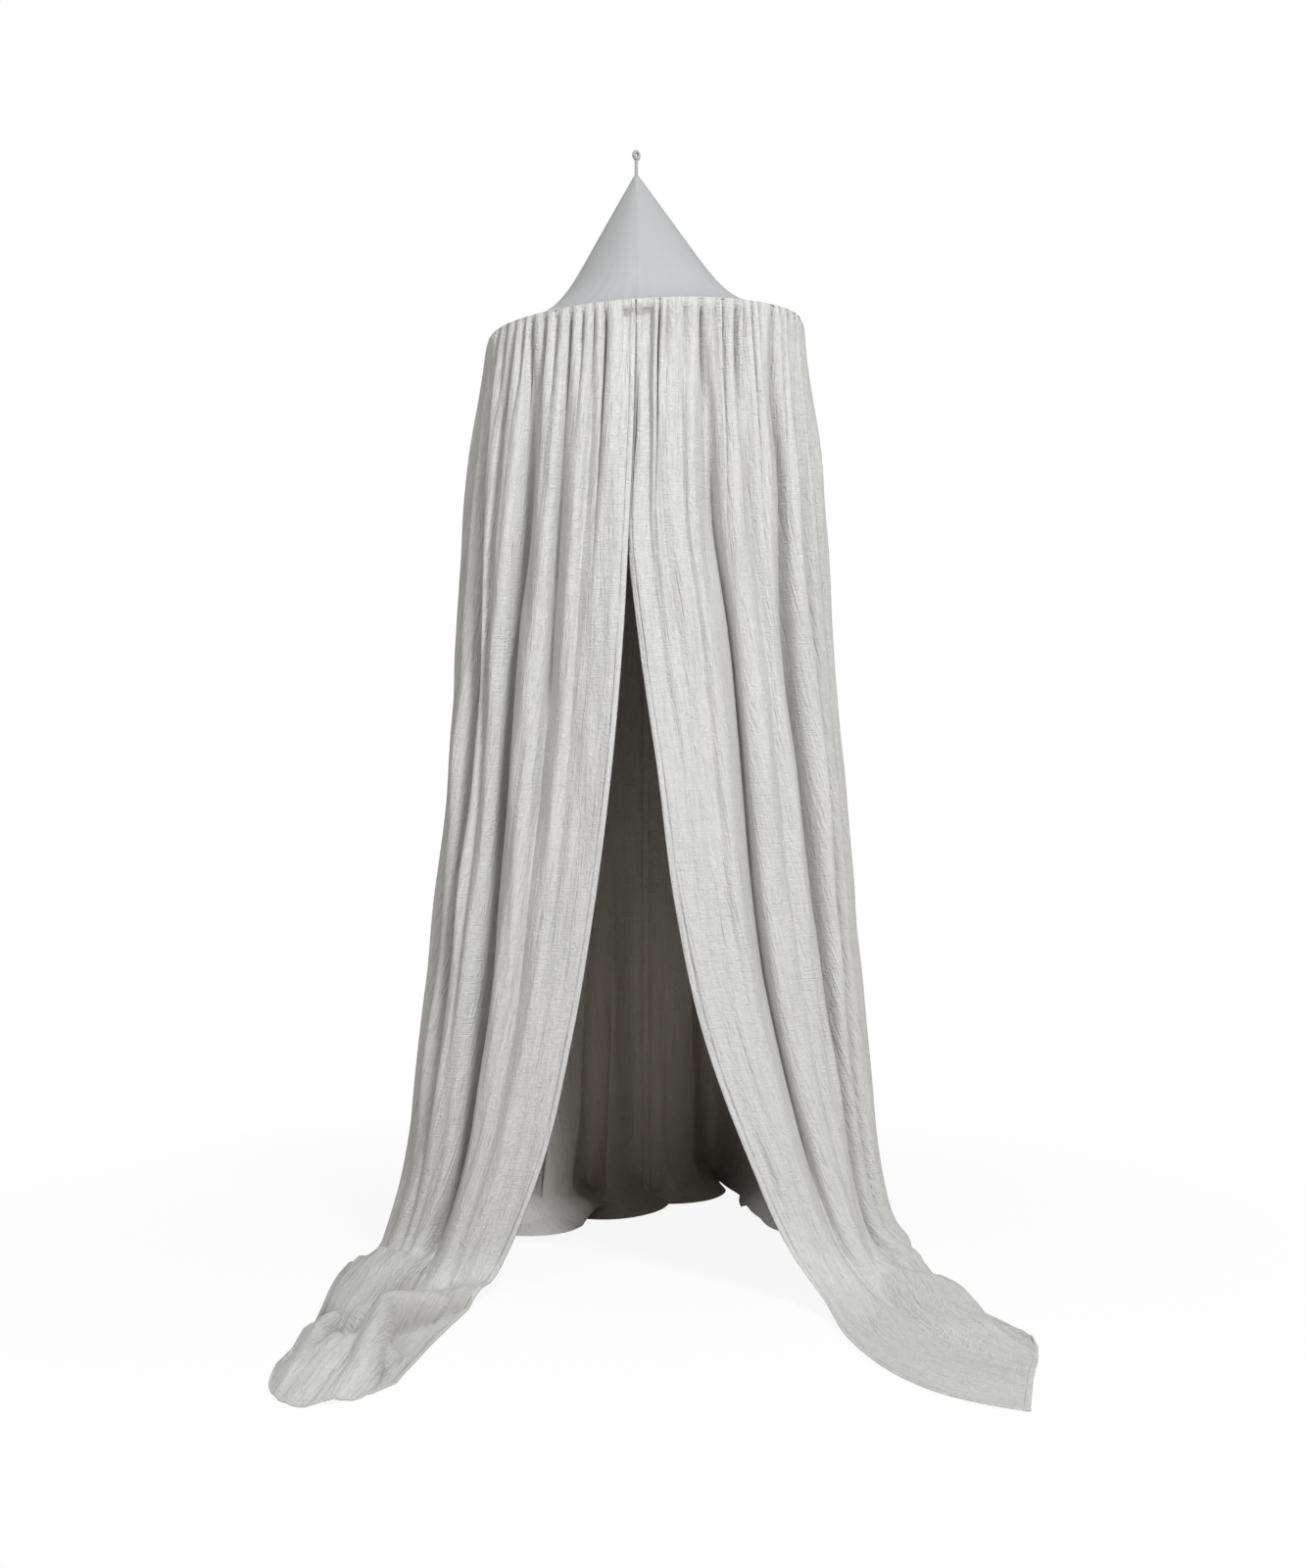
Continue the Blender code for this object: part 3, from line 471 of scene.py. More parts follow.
def even_columns(points, columns):
    """Resample each row at even steps of its run of cloth, finer in front than at the back. The steps
    change slowly from row to row, so that the columns keep to the creases."""
    step = np.linalg.norm(np.diff(points, axis=1), axis=2)
    run = np.concatenate([np.zeros((len(points), 1)), np.cumsum(step, axis=1)], axis=1)
    run = smooth_rows(run / run[:, -1:], COLUMN_REACH)
    target = np.interp(np.linspace(0, 1, columns), (0, FRONT_COLUMNS, 1), (0, FRONT_CLOTH, 1))
    row = np.arange(len(points))[:, None] * 2.0
    wanted, known = (row + target).ravel(), (row + run).ravel()
    found = [np.interp(wanted, known, points[..., axis].ravel()) for axis in range(3)]
    return np.stack(found, axis=-1).reshape(len(points), columns, 3), target


def drape(which, rows, columns, depth_scale):
    """One half curtain: base form, pushed along its outward normal by folds, gathers, waves and the
    swell below the hoop, rolled at its foot, heaped on the floor, and resampled along the cloth.
    Where the cloth lies, the push turns from outward to upward. Returns the grid and its cloth
    coordinates in metres."""
    side = SIDES[which]
    length = row_lengths(rows)[:, None]
    share = np.linspace(0, 1, 5 * columns)[None, :]
    base, laid = curtain_base(which, share + 0 * length, length + 0 * share)
    tangent = unit(np.gradient(base, axis=1) * np.array([1.0, 1.0, 0]))
    outward = np.cross(tangent, [0, 0, side])
    lay = np.clip(laid / LAID_LEVEL, 0, 1)
    lay = lay * lay * (3 - 2 * lay)

    # Folds, gathers, waves and swell, which all fade towards the back seam
    offset, shift, lift = fold_relief(which, share, length, depth_scale)
    to_seam = 1 - np.exp(-((1 - share) / 0.012) ** 2)
    swell = SWELL * (1 - np.exp(-(length / SWELL_REACH) ** 1.3)) * (1 - lay)
    waves = undulation(share, length, WAVE_PHASE[which])
    offset = (offset + gather_relief(which, share, length) * depth_scale + waves + swell) * to_seam
    offset = np.maximum(offset, -1.3 * np.clip(length - BAND_HEIGHT, 0, None))
    turn = (lay * math.pi / 2)[..., None]
    direction = outward * np.cos(turn) + np.array([0, 0, 1.0]) * np.sin(turn)
    points = base + direction * offset[..., None] + tangent * (shift * to_seam)[..., None]

    # The foot's roll, the buckles and the heaps on the floor
    at_foot = np.exp(-((length - DROP - 0.01) / FOOT_REACH) ** 2)
    roll = smooth_line(FOOT_KNOTS, FOOT_ROLLS[which], share) * 0.001 * at_foot
    points -= outward * roll[..., None]
    points[..., 2] += lift * lay * np.clip(laid / 0.5, 0, 1) + buckle_height(which, share, laid)
    resting = np.exp(-np.clip(base[..., 2] - FLOOR, 0, None) / HEAP_REACH)
    heap = mound_height(which, base[..., 0], base[..., 1]) * resting * (1 - laid ** 8)
    points += heap[..., None] * np.array([*MOUND_LEAN[which], 1.0])

    # Nothing goes below the floor: soft * log(1 + exp(height / soft))
    clear = (points[..., 2] - FLOOR - CLOTH / 2) / FLOOR_SOFTNESS
    points[..., 2] = FLOOR + CLOTH / 2 + FLOOR_SOFTNESS * np.logaddexp(0, clear)
    grid, place = even_columns(points, columns)
    return grid, pairs(place[None, :] * CURTAIN_WIDTH, length)


def cone_radius(depth):
    """Radius of the cone at a depth under its tip: an even growth and a late flare."""
    share = depth / CONE_HEIGHT
    return CONE_STRAIGHT * share + (SEAM_RADIUS - CONE_STRAIGHT) * share ** CONE_FLARE_POWER


def cone_grid(side, pucker):
    """One half of the cone: puckers that fade over 30 mm above its rim (a sum of two cosines), a low
    sag of five waves, a ridge exp(-x ** 2) across each seam, and a last 6 mm drawn 2 mm further down."""
    top = TIP_RADIUS / CONE_STRAIGHT * CONE_HEIGHT
    depth = top + (CONE_HEIGHT - top) * np.linspace(0, 1, 90)[:, None] ** 0.8
    turn = np.linspace(0, math.pi, 181)[None, :]
    azimuth = SLIT_AZIMUTH + side * turn
    near_rim = np.exp((depth - CONE_HEIGHT) / 0.030)
    wave = np.cos(46 * turn + 1.3 * np.sin(3 * turn)) + 0.6 * np.cos(31 * turn + 2.0)
    sag = CONE_SAG * np.sin(math.pi * depth / CONE_HEIGHT) * np.cos(5 * azimuth + 0.6)
    from_seam = np.minimum(turn, math.pi - turn) * cone_radius(depth)
    seam = CONE_SEAM * np.exp(-(from_seam / 0.003) ** 2)
    radius = cone_radius(depth) + 0.0005 + pucker * wave * near_rim + sag + seam
    rim = np.clip((depth - CONE_HEIGHT + 0.006) / 0.006, 0, 1)
    return np.stack(hoop_point(azimuth, radius, PATCH_DEPTH / 2 - depth - 0.002 * rim ** 2), axis=-1)


def strip(line, inward, normal, width, thickness, sides=10):
    """A sewn edge: a flat oval, width by thickness, carried along a line. It reaches inward from the
    line and EDGE_LAP past it; normal holds unit rows."""
    turn = np.arange(sides) * math.tau / sides
    across = (0.5 - 0.5 * np.cos(turn)) * width - EDGE_LAP
    up = np.sin(turn) * thickness / 2
    return (line[:, None] + inward[:, None] * across[None, :, None]
            + normal[:, None] * up[None, :, None])


def turn_out(mesh):
    """Make a closed mesh's faces point outwards."""
    shape = bmesh.new()
    shape.from_mesh(mesh)
    bmesh.ops.recalc_face_normals(shape, faces=shape.faces)
    shape.to_mesh(mesh)
    shape.free()


def add_surface(name, grid, material, cloth=None, closed=False, caps=False, ring=False):
    """Put a grid of points into a mesh of quads, with cloth coordinates as its UV map. A closed grid
    joins its last column to its first and faces outwards, and a ring joins its last row to its first."""
    rows, columns = grid.shape[:2]
    index = np.arange(rows * columns).reshape(rows, columns)
    if closed:
        index = np.hstack([index, index[:, :1]])
    if ring:
        index = np.vstack([index, index[:1]])
    faces = np.stack([index[:-1, :-1], index[1:, :-1], index[1:, 1:], index[:-1, 1:]], axis=-1)
    faces = faces.reshape(-1, 4)
    ends = [index[0, :columns].tolist(), index[-1, :columns][::-1].tolist()] if caps else []
    mesh = bpy.data.meshes.new(name)
    mesh.from_pydata(grid.reshape(-1, 3).tolist(), [], faces.tolist() + ends)
    mesh.shade_smooth()
    if cloth is not None:
        layer = mesh.uv_layers.new(name="cloth")
        corners = np.empty(len(mesh.loops), dtype=np.int32)
        mesh.loops.foreach_get("vertex_index", corners)
        layer.data.foreach_set("uv", cloth.reshape(-1, 2)[corners].astype(np.float32).ravel())
    piece = bpy.data.objects.new(name, mesh)
    bpy.context.scene.collection.objects.link(piece)
    mesh.materials.append(material)
    if closed:
        turn_out(mesh)
    return piece


class Wire:
    """One value in a shader; an expression on it adds the Math nodes that it needs."""

    def __init__(self, finish, socket):
        self.finish = finish
        self.socket = socket

    def math(self, operation, *values):
        """A Math node on these values."""
        return self.finish.node("ShaderNodeMath", {"operation": operation}, dict(enumerate(values)))

    def __add__(self, other):
        return self.math("ADD", self, other)

    def __sub__(self, other):
        return self.math("SUBTRACT", self, other)

    def __rsub__(self, other):
        return self.math("SUBTRACT", other, self)

    def __mul__(self, other):
        return self.math("MULTIPLY", self, other)

    def __abs__(self):
        return self.math("ABSOLUTE", self)


class Finish:
    """The material of one kind of cloth, cord or plastic."""

    def __init__(self, name, color, roughness, **fixed):
        self.material = bpy.data.materials.new(name)
        self.material.use_nodes = True
        self.tree = self.material.node_tree
        self.shader = self.tree.nodes["Principled BSDF"]
        self.shader.inputs["Base Color"].default_value = (*color, 1.0)
        self.shader.inputs["Roughness"].default_value = roughness
        sockets = {socket.name.lower().replace(" ", "_"): socket for socket in self.shader.inputs}
        for socket, value in fixed.items():
            sockets[socket].default_value = value

    def node(self, kind, settings=None, inputs=None, output=0):
        """Add a node: its settings first, then the values or links of its sockets."""
        node = self.tree.nodes.new(kind)
        for name, value in (settings or {}).items():
            setattr(node, name, value)
        for name, value in (inputs or {}).items():
            if isinstance(value, Wire):
                self.tree.links.new(value.socket, node.inputs[name])
            else:
                node.inputs[name].default_value = value
        return Wire(self, node.outputs[output])

    def place(self):
        """The object's own coordinates, in metres."""
        return self.node("ShaderNodeTexCoord", output="Object")

    def noise(self, vector, scale, detail=2.0, distortion=0.0):
        """Noise from 0 to 1 on coordinates stretched by a scale for each axis."""
        moved = self.node("ShaderNodeMapping", inputs={"Vector": vector, "Scale": scale})
        return self.node("ShaderNodeTexNoise", inputs={"Vector": moved, "Scale": 1.0, "Detail": detail,
                                                       "Distortion": distortion})

    def axis(self, vector, name):
        """One coordinate of a vector: X, Y or Z."""
        return self.node("ShaderNodeSeparateXYZ", inputs={"Vector": vector}, output=name)

    def ramp(self, value, low, high):
        """0 below low, 1 above high, and even in between."""
        return self.node("ShaderNodeMapRange", inputs={"Value": value, "From Min": low, "From Max": high})

    def blend(self, factor, first, second):
        """A colour between two, which may be tuples or other blends."""
        first, second = ((*c, 1.0) if isinstance(c, tuple) else c for c in (first, second))
        return self.node("ShaderNodeMix", {"data_type": "RGBA"}, {0: factor, 6: first, 7: second}, output=2)

    def wear(self, socket, value):
        """Let a value drive one of the shader's sockets."""
        self.tree.links.new(value.socket, self.shader.inputs[socket])

    def relief(self, height, depth):
        """Bump the surface by a height from 0 to 1, with its full depth in metres."""
        self.wear("Normal", self.node("ShaderNodeBump", inputs={"Height": height, "Distance": depth}))


def scaled(color, factor):
    """A colour with each channel times the factor, 1 at most."""
    return tuple(min(1.0, channel * factor) for channel in color)


def gauze_finish(name, color, crinkle):
    """Double gauze: fine upright crinkles with painted shade in their hollows, cross slubs, a weave, and a
    stitched line beside the hem.
    The cloth's colour is painted darker and warmer towards its back, as painted shade for the inside, which
    shows through the slit."""
    finish = Finish(name, color, 0.92, specular_ior_level=0.25, sheen_weight=0.12, sheen_roughness=0.5)
    cloth = finish.node("ShaderNodeUVMap", {"uv_map": "cloth"})    # metres across and down the threads
    fine = finish.noise(cloth, (170, 15, 1), 3.0, 0.6)
    broad = finish.noise(cloth, (70, 6, 1), 2.0, 0.8)
    slub = finish.noise(cloth, (22, 330, 1), 2.0, 0.2)
    weave = finish.noise(cloth, (900, 700, 1), 1.0)
    patch = finish.noise(cloth, (5, 3, 1), 2.0)
    crease = 1 - abs(fine - 0.5) * 2.4
    fold = 1 - abs(broad - 0.5) * 2.2
    across = finish.axis(cloth, "X")
    down = finish.axis(cloth, "Y")
    pinch = 1 - finish.ramp(down, 0.0, 0.05)
    tuck = finish.noise(cloth, (260, 8, 1), 1.0, 0.3)
    cell = finish.noise(cloth, (110, 75, 1), 3.0, 1.2)
    rib = finish.noise(cloth, (35, 420, 1), 1.0, 0.3)
    ribbed = finish.ramp(patch, 0.42, 0.60)
    height = (crease * 0.62 + fold * 0.50 + (1 - abs(cell - 0.5) * 2.4) * 0.42 + rib * (ribbed * 0.35 + 0.10)
              + slub * 0.16 + weave * 0.06 + tuck * pinch * 0.4)
    stitch = finish.ramp(abs(across - 0.0085), 0.0022, 0.0)
    height = height - stitch * 0.5
    finish.relief(height, 0.0030 * crinkle)
    # Painted shade and highlight: the colour is a tenth darker where the crinkles' relief is low and a
    # little lighter on its raised lines
    painted_crinkle_shade = finish.ramp(crease * 0.5 + fold * 0.5, 0.45, 1.0)
    body = finish.blend(painted_crinkle_shade, scaled(color, 0.90), scaled(color, 1.04))
    body = finish.blend(finish.ramp(slub, 0.35, 0.75) * 0.5, body, scaled(color, 1.06))
    warm = (color[0] * 0.98, color[1] * 0.99, color[2] * 0.955)
    body = finish.blend(finish.ramp(patch, 0.35, 0.7) * 0.35, body, warm)
    body = finish.blend(stitch * 0.35, body, scaled(color, 0.80))
    # Painted shade: the colour turns darker and warmer towards the back seam, from 0.90 to 1.20 m across the
    # cloth
    painted_back_shade = finish.blend(finish.ramp(across, 0.90, 1.20), WHITE, BACK_PAINTED_SHADE)
    body = finish.node("ShaderNodeVectorMath", {"operation": "MULTIPLY"}, {0: body, 1: painted_back_shade})
    finish.wear("Base Color", body)
    return finish.material


def plain_finish(name, color):
    """Plain-woven cotton: a close weave, a soft cloudy tone, and painted shade that darkens the colour
    towards the top.
    """
    finish = Finish(name, color, 0.9, specular_ior_level=0.25, sheen_weight=0.08, sheen_roughness=0.5)
    place = finish.place()
    grain = finish.noise(place, (900, 900, 900), 1.0)
    cloud = finish.noise(place, (9, 9, 5), 3.0)
    streak = finish.noise(place, (90, 90, 12), 2.0, 0.3)
    finish.relief(grain * 0.35 + cloud * 0.25 + streak * 0.5, 0.0007)
    body = finish.blend(finish.ramp(cloud, 0.3, 0.7), scaled(color, 0.965), scaled(color, 1.025))
    body = finish.blend(grain * 0.25, body, scaled(color, 0.9))
    # Painted shade: the colour is up to about 15 % darker towards the top, from z -0.27 up to -0.05
    high = finish.ramp(finish.axis(place, "Z"), -0.27, -0.05)
    finish.wear("Base Color", finish.blend(high * 0.75, body, scaled(color, 0.80)))
    return finish.material


def plastic_finish(name, color, roughness):
    """Extruded plastic: faint lines along it and a few scuffs."""
    finish = Finish(name, color, roughness, specular_ior_level=0.5)
    place = finish.place()
    haze = finish.noise(place, (60, 60, 60), 3.0)
    scuff = finish.noise(place, (400, 400, 30), 2.0, 0.5)
    finish.relief(scuff, 0.0002)
    uneven = finish.node("ShaderNodeMapRange",
                         inputs={"Value": haze, "To Min": roughness - 0.08, "To Max": roughness + 0.1})
    finish.wear("Roughness", uneven)
    finish.wear("Base Color", finish.blend(haze, scaled(color, 0.96), color))
    return finish.material


def floor_finish(name, color):
    """Pale floor that keeps the canopy's shadow and turns white towards the horizon."""
    finish = Finish(name, color, 0.9, specular_ior_level=0.1)
    place = finish.place()
    distance = finish.node("ShaderNodeVectorMath", {"operation": "LENGTH"}, {0: place}, output="Value")
    white = finish.node("ShaderNodeEmission", inputs={"Color": (1, 1, 1, 1), "Strength": 1.0})
    seen = finish.node("ShaderNodeLightPath", output="Is Camera Ray")
    factor = seen * (finish.ramp(distance, 0.5, 2.4) * 0.25 + 0.75)
    paint = Wire(finish, finish.shader.outputs[0])
    mixed = finish.node("ShaderNodeMixShader", inputs={0: factor, 1: paint, 2: white})
    finish.tree.links.new(mixed.socket, finish.tree.nodes["Material Output"].inputs["Surface"])
    return finish.material


def color_setting(name, description, default):
    """A colour that a user may change."""
    return FloatVectorProperty(name=name, description=description, subtype="COLOR", default=default,
                               min=0.0, max=1.0)


def size_setting(name, description, default):
    """A length in metres that a user may change."""
    return FloatProperty(name=name, description=description, default=default, unit="LENGTH")


def factor_setting(name, description, default, low=0.0, high=1000.0):
    """A factor or a strength that a user may change."""
    return FloatProperty(name=name, description=description, default=default, min=low, max=high)


class ClothSettings(bpy.types.PropertyGroup):
    gauze: color_setting("Gauze", "Colour of the double gauze", (0.618, 0.602, 0.584))
    plain: color_setting("Plain cotton", "Colour of the cone's plain cotton", (0.438, 0.433, 0.430))
    tape: color_setting("Tape", "Colour of the sewn tapes", (0.64, 0.62, 0.59))
    crinkle: factor_setting("Crinkle", "Depth of the gauze's crinkles, as a factor", 1.0, 0.0, 3.0)
    fold_depth: factor_setting("Fold depth", "Depth of the folds and gathers, as a factor", 1.0, 0.2, 1.5)
    hem: size_setting("Hem", "Width of the sewn hem", 0.009)
    hem_thickness: size_setting("Hem thickness", "Thickness of the turned and sewn hem", 0.0022)
    rows: IntProperty(name="Rows", description="Rows of points down each half curtain", default=235)
    columns: IntProperty(name="Columns", description="Points across each half curtain", default=420)


class CrownSettings(bpy.types.PropertyGroup):
    cord: color_setting("Cord", "Colour of the hanging loop", (0.45, 0.45, 0.47))
    thickness: size_setting("Cord thickness", "Thickness of the eye's twisted cord", 0.0060)
    eye_turn: FloatProperty(name="Eye turn", description="How far the eye is turned about its neck",
                            default=math.radians(52), subtype="ANGLE")
    rod: color_setting("Rod", "Colour of the hoop's rods", (0.80, 0.80, 0.78))
    sleeve: color_setting("Sleeve", "Colour of the sleeves that join the rods", (0.55, 0.55, 0.55))
    pucker: size_setting("Pucker", "Depth of the puckers along the cone's rim", 0.0011)


class StudioSettings(bpy.types.PropertyGroup):
    sky: factor_setting("Sky", "Strength of the even light", 0.215)
    left_light: factor_setting("Left light", "Power of the left lamp in watts", 52.0)
    right_light: factor_setting("Right light", "Power of the right lamp in watts", 214.0)
    floor: color_setting("Floor", "Colour of the floor", (0.87, 0.845, 0.815))


def hems(which, grid, settings, material):
    """Sewn hems of a half curtain: one down its free edge and one along its lower edge, which keeps to
    the floor and is narrower where the cloth runs slantwise into it."""
    pieces = []
    for label, line, inner in (("front", grid[:, 0], grid[:, 3]), ("lower", grid[-1], grid[-5])):
        cloth_way = smooth_rows(unit(inner - line), HEM_REACH)
        run = unit(np.gradient(line, axis=0))
        inward = cloth_way
        if label == "lower":
            level = np.cross(run, [0, 0, 1.0])
            inward = level * np.sign(np.sum(level * cloth_way))
        inward = unit(inward - run * np.sum(inward * run, axis=1, keepdims=True))
        normal = unit(np.cross(run, inward))
        slant = np.clip(np.sum(inward * cloth_way, axis=1, keepdims=True), HEM_NARROWEST, 1)
        tube = strip(line, inward * slant, normal, settings.hem, settings.hem_thickness)
        tube[..., 2] = np.maximum(tube[..., 2], FLOOR + 0.0002)
        along = run_along(line)[:, None]
        around = np.linspace(0, 2 * settings.hem, tube.shape[1])[None, :]
        if label == "front":
            coordinates = pairs(around + HEM_WEAVE[0], along)
        else:
            coordinates = pairs(along + HEM_WEAVE[0], around + HEM_WEAVE[1])
        name = f"{which}_{label}_hem"
        pieces.append(add_surface(name, tube, material, coordinates, closed=True, caps=True))
    return pieces


class CANOPY_OT_curtains(bpy.types.Operator):
    """Make the two half curtains with their hems and the back seam"""
    bl_idname = "canopy.curtains"
    bl_label = "Curtains"

    def execute(self, context):
        settings = context.scene.canopy_cloth
        gauze = gauze_finish("double_gauze", tuple(settings.gauze), settings.crinkle)
        backs = []
        for which in SIDES:
            grid, cloth = drape(which, settings.rows, settings.columns, settings.fold_depth)
            sheet = add_surface(f"{which}_half_curtain", grid, gauze, cloth)
            pieces = hems(which, grid, settings, gauze)
            for piece in (sheet, *pieces):
                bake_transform(piece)
            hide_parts(f"{which}_front_curtain", f"{which}_back_curtain")
            backs.append(grid[:, -1])
        line = (backs[0] + backs[1]) / 2 - np.array([0, BACK_SEAM_INSET, 0])
        across = np.tile([1.0, 0, 0], (len(line), 1))
        normal = unit(np.cross(unit(np.gradient(line, axis=0)), across))
        seam = strip(line - across * BACK_SEAM_WIDTH / 2, across, normal,
                     BACK_SEAM_WIDTH, BACK_SEAM_THICKNESS)
        weave = np.linspace(*BACK_SEAM_WEAVE, seam.shape[1])[None, :]
        coordinates = pairs(weave, run_along(line)[:, None])
        back_seam = add_surface("back_seam", seam, gauze, coordinates, closed=True, caps=True)
        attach(back_seam, "canopy")
        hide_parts("back_seam_tape")
        return {"FINISHED"}


def twisted_cord(line, up, cord, plies, pitch, sides=32, ring=False):
    """Grid round a line whose section has one lobe for each ply and turns along it: the radius goes
    from CORD_CORE to 1 times cord / 2 with abs(cos(plies / 2 times the angle from a lobe)). A ring
    ends where it began."""
    turns = run_along(line) / pitch
    run = unit(np.gradient(line, axis=0))
    if ring:
        turns *= round(turns[-1] * plies) / plies / turns[-1]
        run[0] = run[-1] = unit(line[1] - line[-2])
    across = unit(np.cross(run, up))
    over = np.cross(across, run)
    angle = np.arange(sides) * math.tau / sides
    lobes = np.abs(np.cos(plies / 2 * (angle[None, :] - math.tau * turns[:, None])))
    radius = (cord / 2 * (CORD_CORE + (1 - CORD_CORE) * lobes))[..., None]
    return (line[:, None] + radius * (np.cos(angle)[None, :, None] * across[:, None]
                                      + np.sin(angle)[None, :, None] * over[:, None]))


class CANOPY_OT_loop(bpy.types.Operator):
    """Make the hanging loop of twisted cord: its eye, its neck and the knot under the cone's tip"""
    bl_idname = "canopy.loop"
    bl_label = "Hanging loop"

    def execute(self, context):
        crown = context.scene.canopy_crown
        cord = plain_finish("cord_cotton", tuple(crown.cord))
        around = np.linspace(0, math.tau, 121)
        level = EYE_WIDTH / 2 * np.cos(around)
        eye = np.stack([level * math.cos(crown.eye_turn), level * math.sin(crown.eye_turn),
                        EYE_HEIGHT / 2 * (np.sin(around) - 1) + CORD_DIAMETER / 2], axis=-1)
        facing = np.array([-math.sin(crown.eye_turn), math.cos(crown.eye_turn), 0])
        neck = np.linspace([0, 0, CORD_DIAMETER / 2 - EYE_HEIGHT - 0.0010], [0, 0, KNOT_TOP], 90)
        down = np.linspace(0, 1, 200)
        coiled = math.tau * COIL_TURNS * down
        coil = np.stack([COIL_RADIUS * np.cos(coiled), COIL_RADIUS * np.sin(coiled),
                         KNOT_TOP - 0.0025 - COIL_HEIGHT * down], axis=-1)
        lines = {
            "loop_eye": (eye, facing, crown.thickness),
            "loop_neck": (neck, (0, 1, 0), NECK_DIAMETER),
            "loop_knot": (coil, (0, 0, 1), CORD_DIAMETER),
        }
        for name, (line, up, thickness) in lines.items():
            ring = name == "loop_eye"
            grid = twisted_cord(line, up, thickness, *TWISTS[name], ring=ring)
            piece = add_surface(name, grid[:-1] if ring else grid, cord,
                                closed=True, caps=not ring, ring=ring)
            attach(piece, "loop")
            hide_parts("hanging_loop")
        return {"FINISHED"}


class CANOPY_OT_cone(bpy.types.Operator):
    """Make the two halves of the cone and their front and back seams"""
    bl_idname = "canopy.cone"
    bl_label = "Cone"

    def execute(self, context):
        plain = plain_finish("plain_cotton", tuple(context.scene.canopy_cloth.plain))
        for which, side in SIDES.items():
            grid = cone_grid(side, context.scene.canopy_crown.pucker)
            piece = add_surface(f"{which}_cone_half", grid if side > 0 else grid[:, ::-1], plain)
            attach(piece, "canopy")
            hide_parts(f"{which}_cone_gore")
        return {"FINISHED"}


class CANOPY_OT_crown(bpy.types.Operator):
    """Finish the hoop, its casing and the tapes"""
    bl_idname = "canopy.crown"
    bl_label = "Crown"

    def execute(self, context):
        cloth, crown = context.scene.canopy_cloth, context.scene.canopy_crown
        finishes = {
            "cotton_plain": plain_finish("casing_cotton", tuple(cloth.plain)),
            "tape": plain_finish("cotton_tape", tuple(cloth.tape)),
            "hoop_plastic": plastic_finish("rod_plastic", tuple(crown.rod), 0.4),
            "sleeve_plastic": plastic_finish("sleeve_plastic", tuple(crown.sleeve), 0.35),
        }
        slots = {part["node"]: part["material_slot"] for part in frame["record"]["subparts"]}
        for name, node in frame["nodes"].items():
            if slots[name] in finishes:
                node.data.materials.clear()
                node.data.materials.append(finishes[slots[name]])
        return {"FINISHED"}


def set_world(scene, strength):
    """Even light on the canopy, and plain white where the camera sees past it."""
    scene.world = bpy.data.worlds.new("studio")
    scene.world.use_nodes = True
    tree = scene.world.node_tree
    even = tree.nodes["Background"]
    even.inputs["Color"].default_value = (1.0, 0.955, 0.905, 1)
    even.inputs["Strength"].default_value = strength
    white = tree.nodes.new("ShaderNodeBackground")
    white.inputs["Color"].default_value = (*WHITE, 1)
    paths = tree.nodes.new("ShaderNodeLightPath")
    mix = tree.nodes.new("ShaderNodeMixShader")
    for source, target in ((paths.outputs["Is Camera Ray"], mix.inputs[0]),
                           (even.outputs[0], mix.inputs[1]), (white.outputs[0], mix.inputs[2]),
                           (mix.outputs[0], tree.nodes["World Output"].inputs["Surface"])):
        tree.links.new(source, target)


def add_lamp(scene, name, place, power):
    """A round lamp that points at LAMP_AIM."""
    lamp = bpy.data.lights.new(name, "AREA")
    lamp.shape = "DISK"
    lamp.size = 1.0
    lamp.energy = power
    lamp.color = (0.93, 0.97, 1.0)
    thing = bpy.data.objects.new(name, lamp)
    thing.location = place
    aim = np.array(LAMP_AIM) - np.array(place)
    thing.rotation_euler = (math.acos(-aim[2] / np.linalg.norm(aim)), 0,
                            math.atan2(aim[1], aim[0]) - math.pi / 2)
    scene.collection.objects.link(thing)


def add_camera(scene):
    """The photograph's camera, level and facing the canopy."""
    camera = bpy.data.cameras.new("photo_camera")
    camera.lens = CAMERA_LENS
    camera.sensor_width = 36.0
    camera.shift_y = CAMERA_SHIFT
    camera.clip_end = 200
    scene.camera = bpy.data.objects.new("photo_camera", camera)
    scene.camera.location = CAMERA_PLACE
    scene.camera.rotation_euler = (math.pi / 2, 0, 0)
    scene.collection.objects.link(scene.camera)


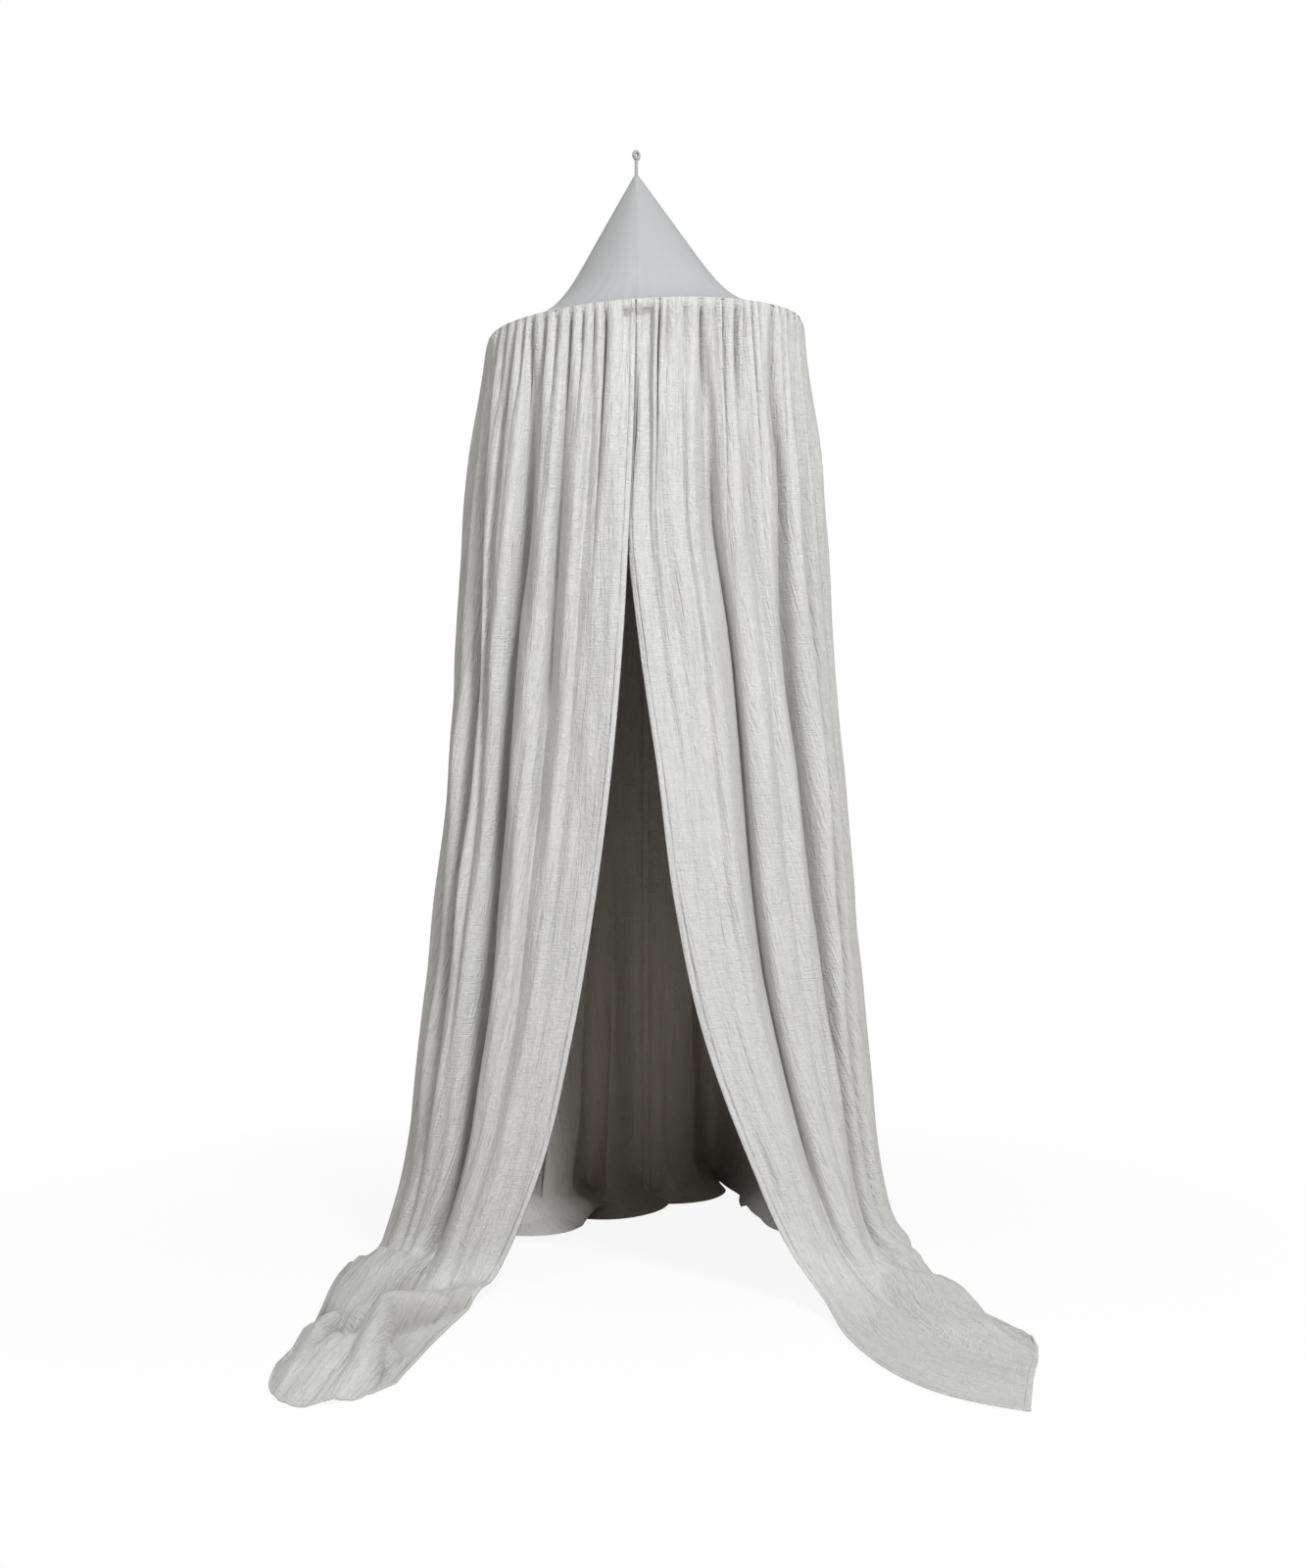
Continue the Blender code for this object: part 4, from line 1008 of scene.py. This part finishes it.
class CANOPY_OT_stage(bpy.types.Operator):
    """Set the floor, the lamps, the even light and the photograph's camera"""
    bl_idname = "canopy.stage"
    bl_label = "Stage"

    def execute(self, context):
        scene, settings = context.scene, context.scene.canopy_studio
        ground = np.array([[[-40.0, -40, 0], [40, -40, 0]], [[-40, 40, 0], [40, 40, 0]]]) + [0, 0, FLOOR]
        floor = add_surface("floor", ground[:, ::-1], floor_finish("floor_paint", tuple(settings.floor)))
        set_world(scene, settings.sky)
        for (name, place), power in zip(LAMP_PLACES.items(), (settings.left_light, settings.right_light)):
            add_lamp(scene, name, place, power)
        add_camera(scene)
        scene.view_settings.view_transform = "Standard"
        return {"FINISHED"}


OPERATORS = (CANOPY_OT_curtains, CANOPY_OT_cone, CANOPY_OT_loop, CANOPY_OT_crown, CANOPY_OT_stage)


class CANOPY_PT_panel(bpy.types.Panel):
    """Lists the canopy's pieces and their settings"""
    bl_label = "Bed canopy"
    bl_idname = "CANOPY_PT_panel"
    bl_space_type = "VIEW_3D"
    bl_region_type = "UI"
    bl_category = "Bed canopy"

    def draw(self, context):
        scene = context.scene
        for group in (scene.canopy_cloth, scene.canopy_crown, scene.canopy_studio):
            for name in group.bl_rna.properties.keys():
                if name not in {"rna_type", "name"}:
                    self.layout.prop(group, name)
        for operator in OPERATORS:
            self.layout.operator(operator.bl_idname)


GROUPS = {"canopy_cloth": ClothSettings, "canopy_crown": CrownSettings, "canopy_studio": StudioSettings}


def register():
    for kind in (*GROUPS.values(), *OPERATORS, CANOPY_PT_panel):
        bpy.utils.register_class(kind)
    for name, group in GROUPS.items():
        setattr(bpy.types.Scene, name, PointerProperty(type=group))


def unregister():
    for name in GROUPS:
        delattr(bpy.types.Scene, name)
    for kind in reversed((*GROUPS.values(), *OPERATORS, CANOPY_PT_panel)):
        bpy.utils.unregister_class(kind)


def main():
    """Build the canopy and its stage."""
    register()
    for operator in OPERATORS:
        getattr(bpy.ops.canopy, operator.bl_idname.split(".")[1])()


if __name__ == "__main__":
    main()
